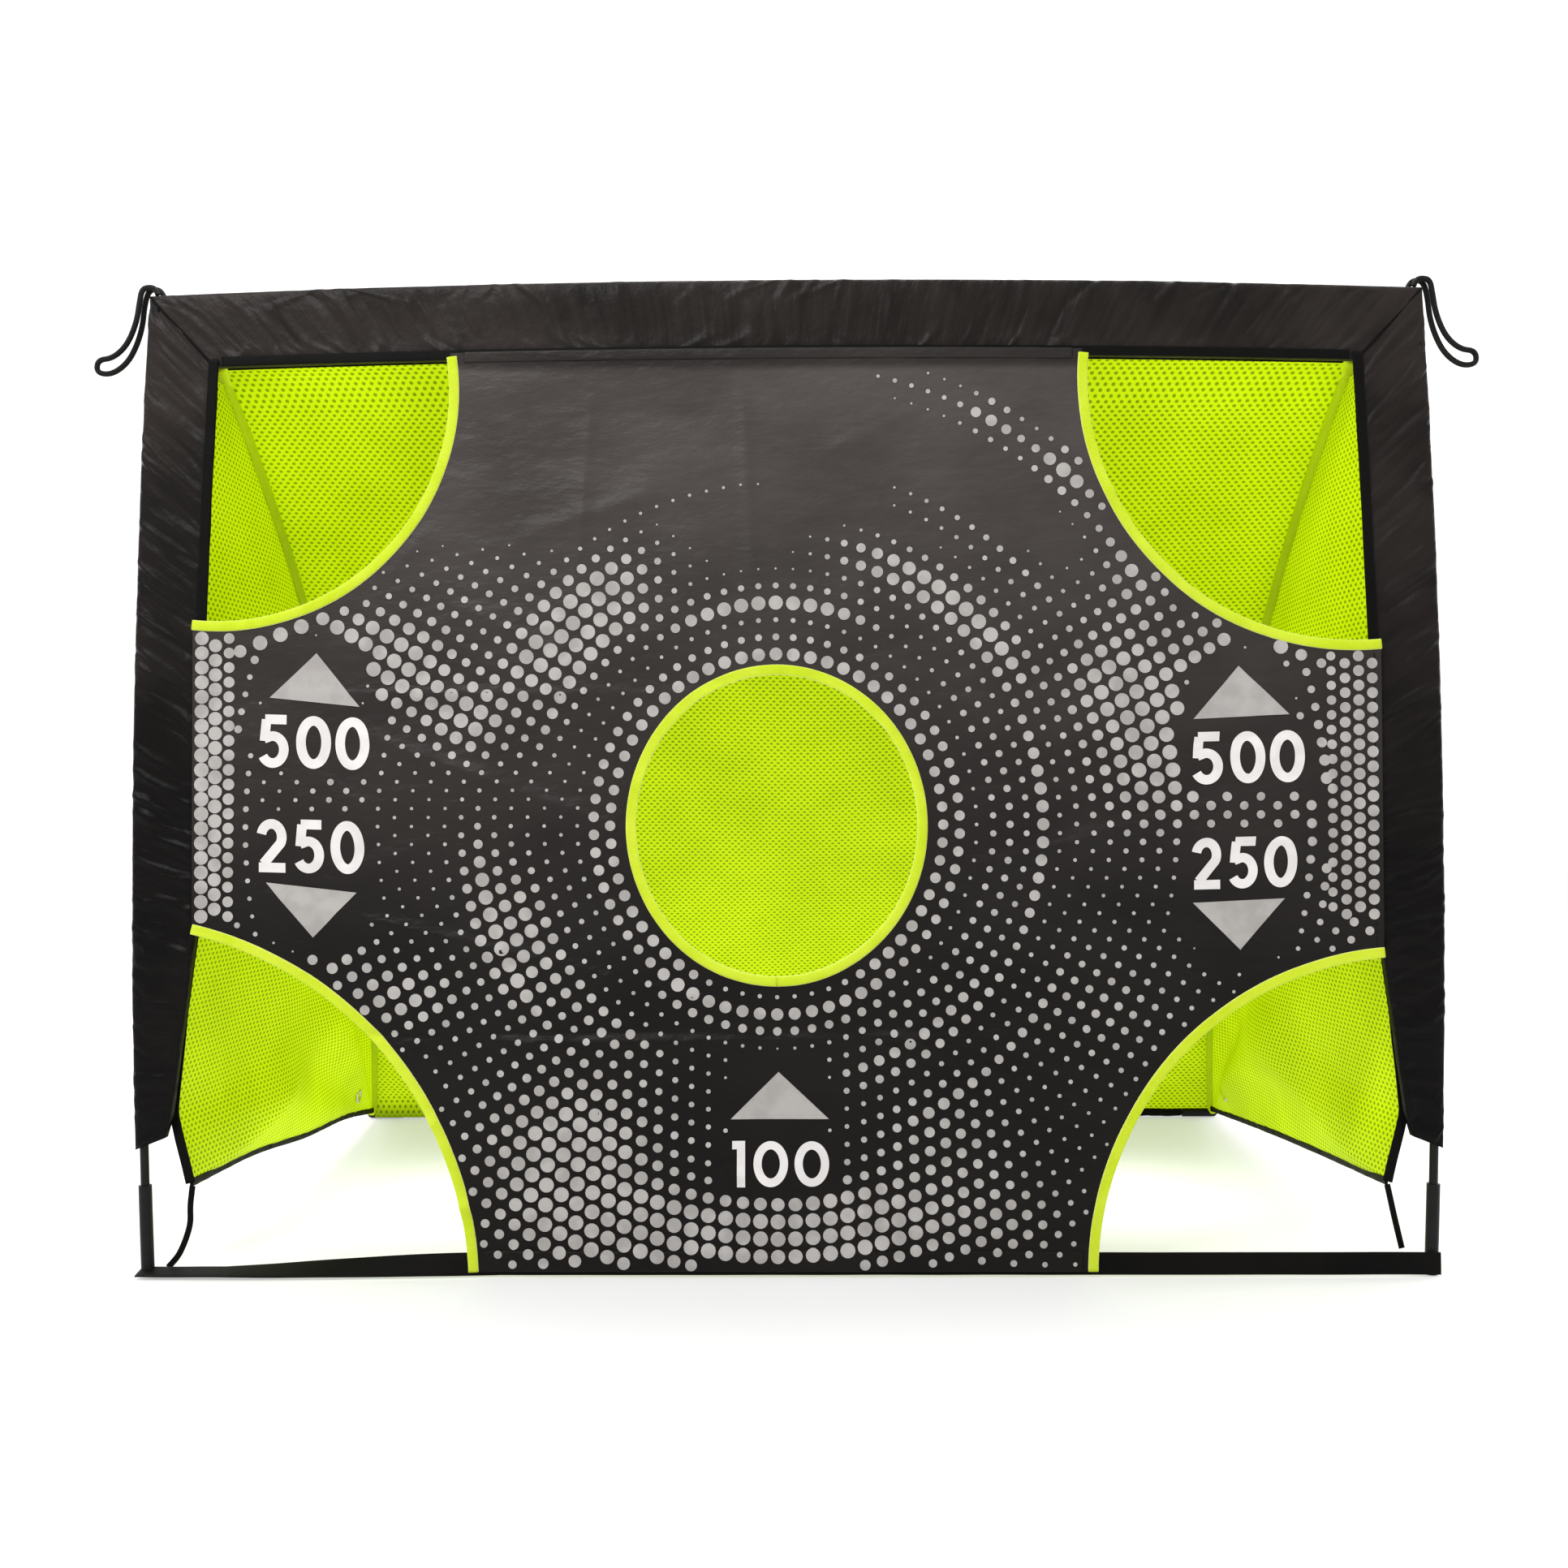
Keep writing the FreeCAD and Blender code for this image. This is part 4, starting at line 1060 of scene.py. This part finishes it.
# Each band's at_stay and at_front points lie this share of the band's width outside its borders.
FOLD_MARGIN = 0.05
HEM_FRONT = np.array([566.0, FRONT_Y + 9.0, 84.0])
HEM_REAR = np.array([595.0, REAR_Y - 12.0, 13.0])


def hem_point(h, side):
    """The foot of a side panel, from tie point (0) to rear corner (1). The left one hangs in curves."""
    h = np.asarray(h, float)
    point = HEM_FRONT + (HEM_REAR - HEM_FRONT) * h[..., None]
    arch = np.sin(math.pi * h)
    if side < 0:
        point[..., 2] += 9.0 * arch + 3.5 * np.sin(3.0 * math.pi * h) * arch
        point[..., 0] -= 6.0 * arch
    else:
        point[..., 2] += 3.0 * arch
    return point


def radius_of(points):
    return np.hypot(points[..., 1] - HINGE[1], points[..., 2] - HINGE[2])


def angle_of(points):
    """Angle behind straight down, seen from the side, about the fold axis."""
    return np.arctan2(points[..., 1] - HINGE[1], HINGE[2] - points[..., 2])


def side_borders(side):
    """Front and rear border of a side panel by distance from the fold axis: (radius, x, angle) each."""
    z = np.linspace(852.0, 84.0, 300)
    line = resample(INNER_EDGE, 2.0)
    x = np.interp(-z, -line[:, 1], line[:, 0])
    x = np.where(z < 150.0, np.interp(z, [84.0, 150.0], [TIE_POINT[0], 580.0]), x)
    tucked = 3.0 * np.clip((z - 120.0) / 60.0, 0, 1)
    front = points_at(x + tucked, FRONT_Y + 8.4, z)
    foot = hem_point(np.linspace(0.0, 1.0, 200), side)
    front = np.concatenate([front, foot[radius_of(foot) > radius_of(front[-1]) + 0.5]])
    rear = stay_point(np.linspace(0.03, 1.0, 400)) - OUTWARD * 3.0
    return [(radius_of(b), b[:, 0], angle_of(b)) for b in (front, rear)]


def band_pieces(side, suffix):
    """The side panel in bands round the fold axis."""
    (front_r, front_x, front_a), (rear_r, rear_x, rear_a) = side_borders(side)
    last = min(front_r.max(), rear_r.max())
    wave = waves(default_rng(131 + side), 260.0, 8)
    pieces = []
    for inner, outer in zip(BAND_EDGES, BAND_EDGES[1:]):
        low, high = max(inner, 39.0), min(outer, last)
        if high - low < 2.0:
            continue
        r = np.linspace(low, high, max(3, int((high - low) / 6.5)))[:, None]
        f = np.linspace(0.0, 1.0, 120)[None, :]
        start_a, end_a = np.interp(r, front_r, front_a), np.interp(r, rear_r, rear_a)
        start_x, end_x = np.interp(r, front_r, front_x), np.interp(r, rear_r, rear_x)
        angle = start_a + (end_a - start_a) * f
        y, z = HINGE[1] + r * np.sin(angle), HINGE[2] - r * np.cos(angle)
        slack = np.sin(math.pi * f) * np.clip((end_a - start_a) * r / 200.0, 0, 1)
        dy, dz = REAR_Y - y, z
        bearing = np.arctan2(dz, np.maximum(dy, 1.0))
        pleats = np.sin(bearing * 17.0 + side) * np.exp(-((np.hypot(dy, dz) - 330.0) / 300.0) ** 2)
        front_fold = np.sin((z + 0.35 * y) / 26.0) * np.exp(-((y - FRONT_Y) / 110.0) ** 2)
        lower = np.clip((620.0 - z) / 400.0, 0, 1)
        inward = slack * (10.0 + 3.0 * wave(y, z) + lower * (9.0 * pleats + 3.5 * front_fold))
        x = start_x + (end_x - start_x) * f - inward
        points = points_at(side * x, y, z)
        uv = np.stack([points[..., 1], points[..., 2]], -1) * 0.001
        piece = grid_mesh("side_net_%s_%02d" % (suffix, len(pieces)), points, uv, MESH)
        middle = math.sqrt(low * high)
        front_at = math.asin(-8.0 / middle)
        stay_a = float(np.interp(middle, rear_r, rear_a))
        wider = FOLD_MARGIN * (stay_a - front_at)
        stay_a, front_at = stay_a + wider, front_at - wider
        at_stay, at_front = (
            (0.0, (HINGE[1] + middle * math.sin(a)) / 1000, (HINGE[2] - middle * math.cos(a)) / 1000)
            for a in (stay_a, front_at)
        )
        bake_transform(piece)
        arc = float(np.mean(end_a - start_a))
        pieces.append(Band(low, high, piece, at_stay, at_front, arc * high / 1000, (high - low) / 1000,
                           arc * (high ** 2 - low ** 2) / 2e6))
    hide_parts("side_net_" + suffix)
    return pieces


def hem_pieces(side, suffix, bands):
    """The black tape along the foot of a side panel, split where the panel's bands are."""
    h = np.linspace(0.0, 1.0, 240)
    centre = hem_point(h, side)
    far = radius_of(centre)
    made = []
    for band in bands:
        inside = (far >= band.low - 3.0) & (far <= band.high + 3.0)
        if np.count_nonzero(inside) < 4:
            continue
        line = mirrored(centre[inside], side)
        sideways, upward = directions(line, UP)
        piece = sweep("side_hem_%s_%d" % (suffix, len(made)), line, upward, sideways, 3.8, 1.3, SEAM_TAPE, 14,
                      3.0, ripple(151, 40.0, 6, h[inside] * 706.0, 0.3, 4.0))
        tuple(band.at_stay)
        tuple(band.at_front)
        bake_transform(piece)
        made.append(piece)
    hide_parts("side_hem_" + suffix)
    return made


ground_hem()
back = back_net()
for side, suffix in SIDES:
    stay_tunnel(side, suffix)
    bands = band_pieces(side, suffix)
    hems = hem_pieces(side, suffix, bands)


# ---------------------------------------------------------------- hard parts
FINISHES = {
    GLASS_FIBRE: ["crossbar_rod", "upright_rod", "stay_rod", "ground_bar_rod"],
    STEEL: ["crossbar_ferrule", "ground_bar_ferrule", "hinge_pin"],
    MOULDING: ["corner_hub", "foot_tube", "stay_fork", "rear_corner"],
    EYELET: ["peg_eyelet"],
}
for material, stems in FINISHES.items():
    for name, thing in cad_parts.items():
        if any(name.startswith(stem) for stem in stems):
            for place in thing.material_slots:
                place.material = material


# ---------------------------------------------------------------- floor and light
def light_the_room():
    """An even white room, brighter overhead and behind the goal than in front of it."""
    world = bpy.data.worlds.new("world")
    bpy.context.scene.world = world
    world.use_nodes = True
    tree = world.node_tree
    background = tree.nodes["Background"]
    background.inputs["Color"].default_value = (1.0, 1.0, 1.0, 1.0)
    way = tree.nodes.new("ShaderNodeTexCoord")
    parts = tree.nodes.new("ShaderNodeSeparateXYZ")
    tree.links.new(way.outputs["Generated"], parts.inputs[0])
    total = tree.nodes.new("ShaderNodeMath")
    total.operation = "ADD"
    ranges = ((parts.outputs[1], (-0.7, 0.1, 0.55, 1.2)), (parts.outputs[2], (0.1, 0.9, 0.0, 0.45)))
    for (value, numbers), term in zip(ranges, total.inputs):
        ramp = tree.nodes.new("ShaderNodeMapRange")
        tree.links.new(value, ramp.inputs[0])
        for number, socket in zip(numbers, list(ramp.inputs)[1:5]):
            socket.default_value = number
        tree.links.new(ramp.outputs[0], term)
    tree.links.new(total.outputs[0], background.inputs["Strength"])


def studio():
    floor = bpy.data.meshes.new("floor")
    floor.from_pydata([(-9, -9, 0), (9, -9, 0), (9, 9, 0), (-9, 9, 0)], [], [(0, 1, 2, 3)])
    look = Nodes("floor", 0.85, 0.2)
    look.colour(look.mix(look.ramp(look.noise(look.coordinates("Object"), 2.0, 2.0), 0.3, 0.7),
                         (0.4, 0.4, 0.4, 1), (0.41, 0.41, 0.41, 1)))
    look.shader.inputs["Emission Color"].default_value = (1.0, 1.0, 1.0, 1.0)
    look.shader.inputs["Emission Strength"].default_value = 0.43
    floor.materials.append(look.material)
    plane = add_object("floor", floor)
    plane.location.z = -0.0006
    light_the_room()
    for name, place, target, size, energy in (
        ("overhead", (0.1, 0.2, 3.3), (0.0, 0.05, 0.0), 0.7, 48.0),
        ("key", (-1.3, -2.4, 3.0), (0.0, -0.3, 0.5), 0.8, 75.0),
        ("left_side", (-2.6, 0.5, 0.9), (-0.6, 0.1, 0.3), 1.2, 42.0),
        ("right_side", (2.6, 0.5, 0.9), (0.6, 0.1, 0.3), 1.2, 42.0),
        ("floor_bounce", (0.0, -0.05, 0.03), (0.0, -0.049, 1.0), 0.5, 0.7),
        ("floor_left", (-0.36, -0.08, 0.13), (-0.36, -0.079, 0.0), 0.28, 0.7),
        ("floor_right", (0.36, -0.08, 0.13), (0.36, -0.079, 0.0), 0.28, 0.7),
    ):
        data = bpy.data.lights.new(name, "AREA")
        data.shape = "SQUARE"
        data.size = size
        data.energy = energy
        light = add_object(name, data)
        light.visible_camera = False
        light.location = place
        light.rotation_mode = "QUATERNION"
        light.rotation_quaternion = (Vector(target) - Vector(place)).to_track_quat("-Z", "Y")
    bpy.context.scene.view_settings.view_transform = "Standard"


studio()
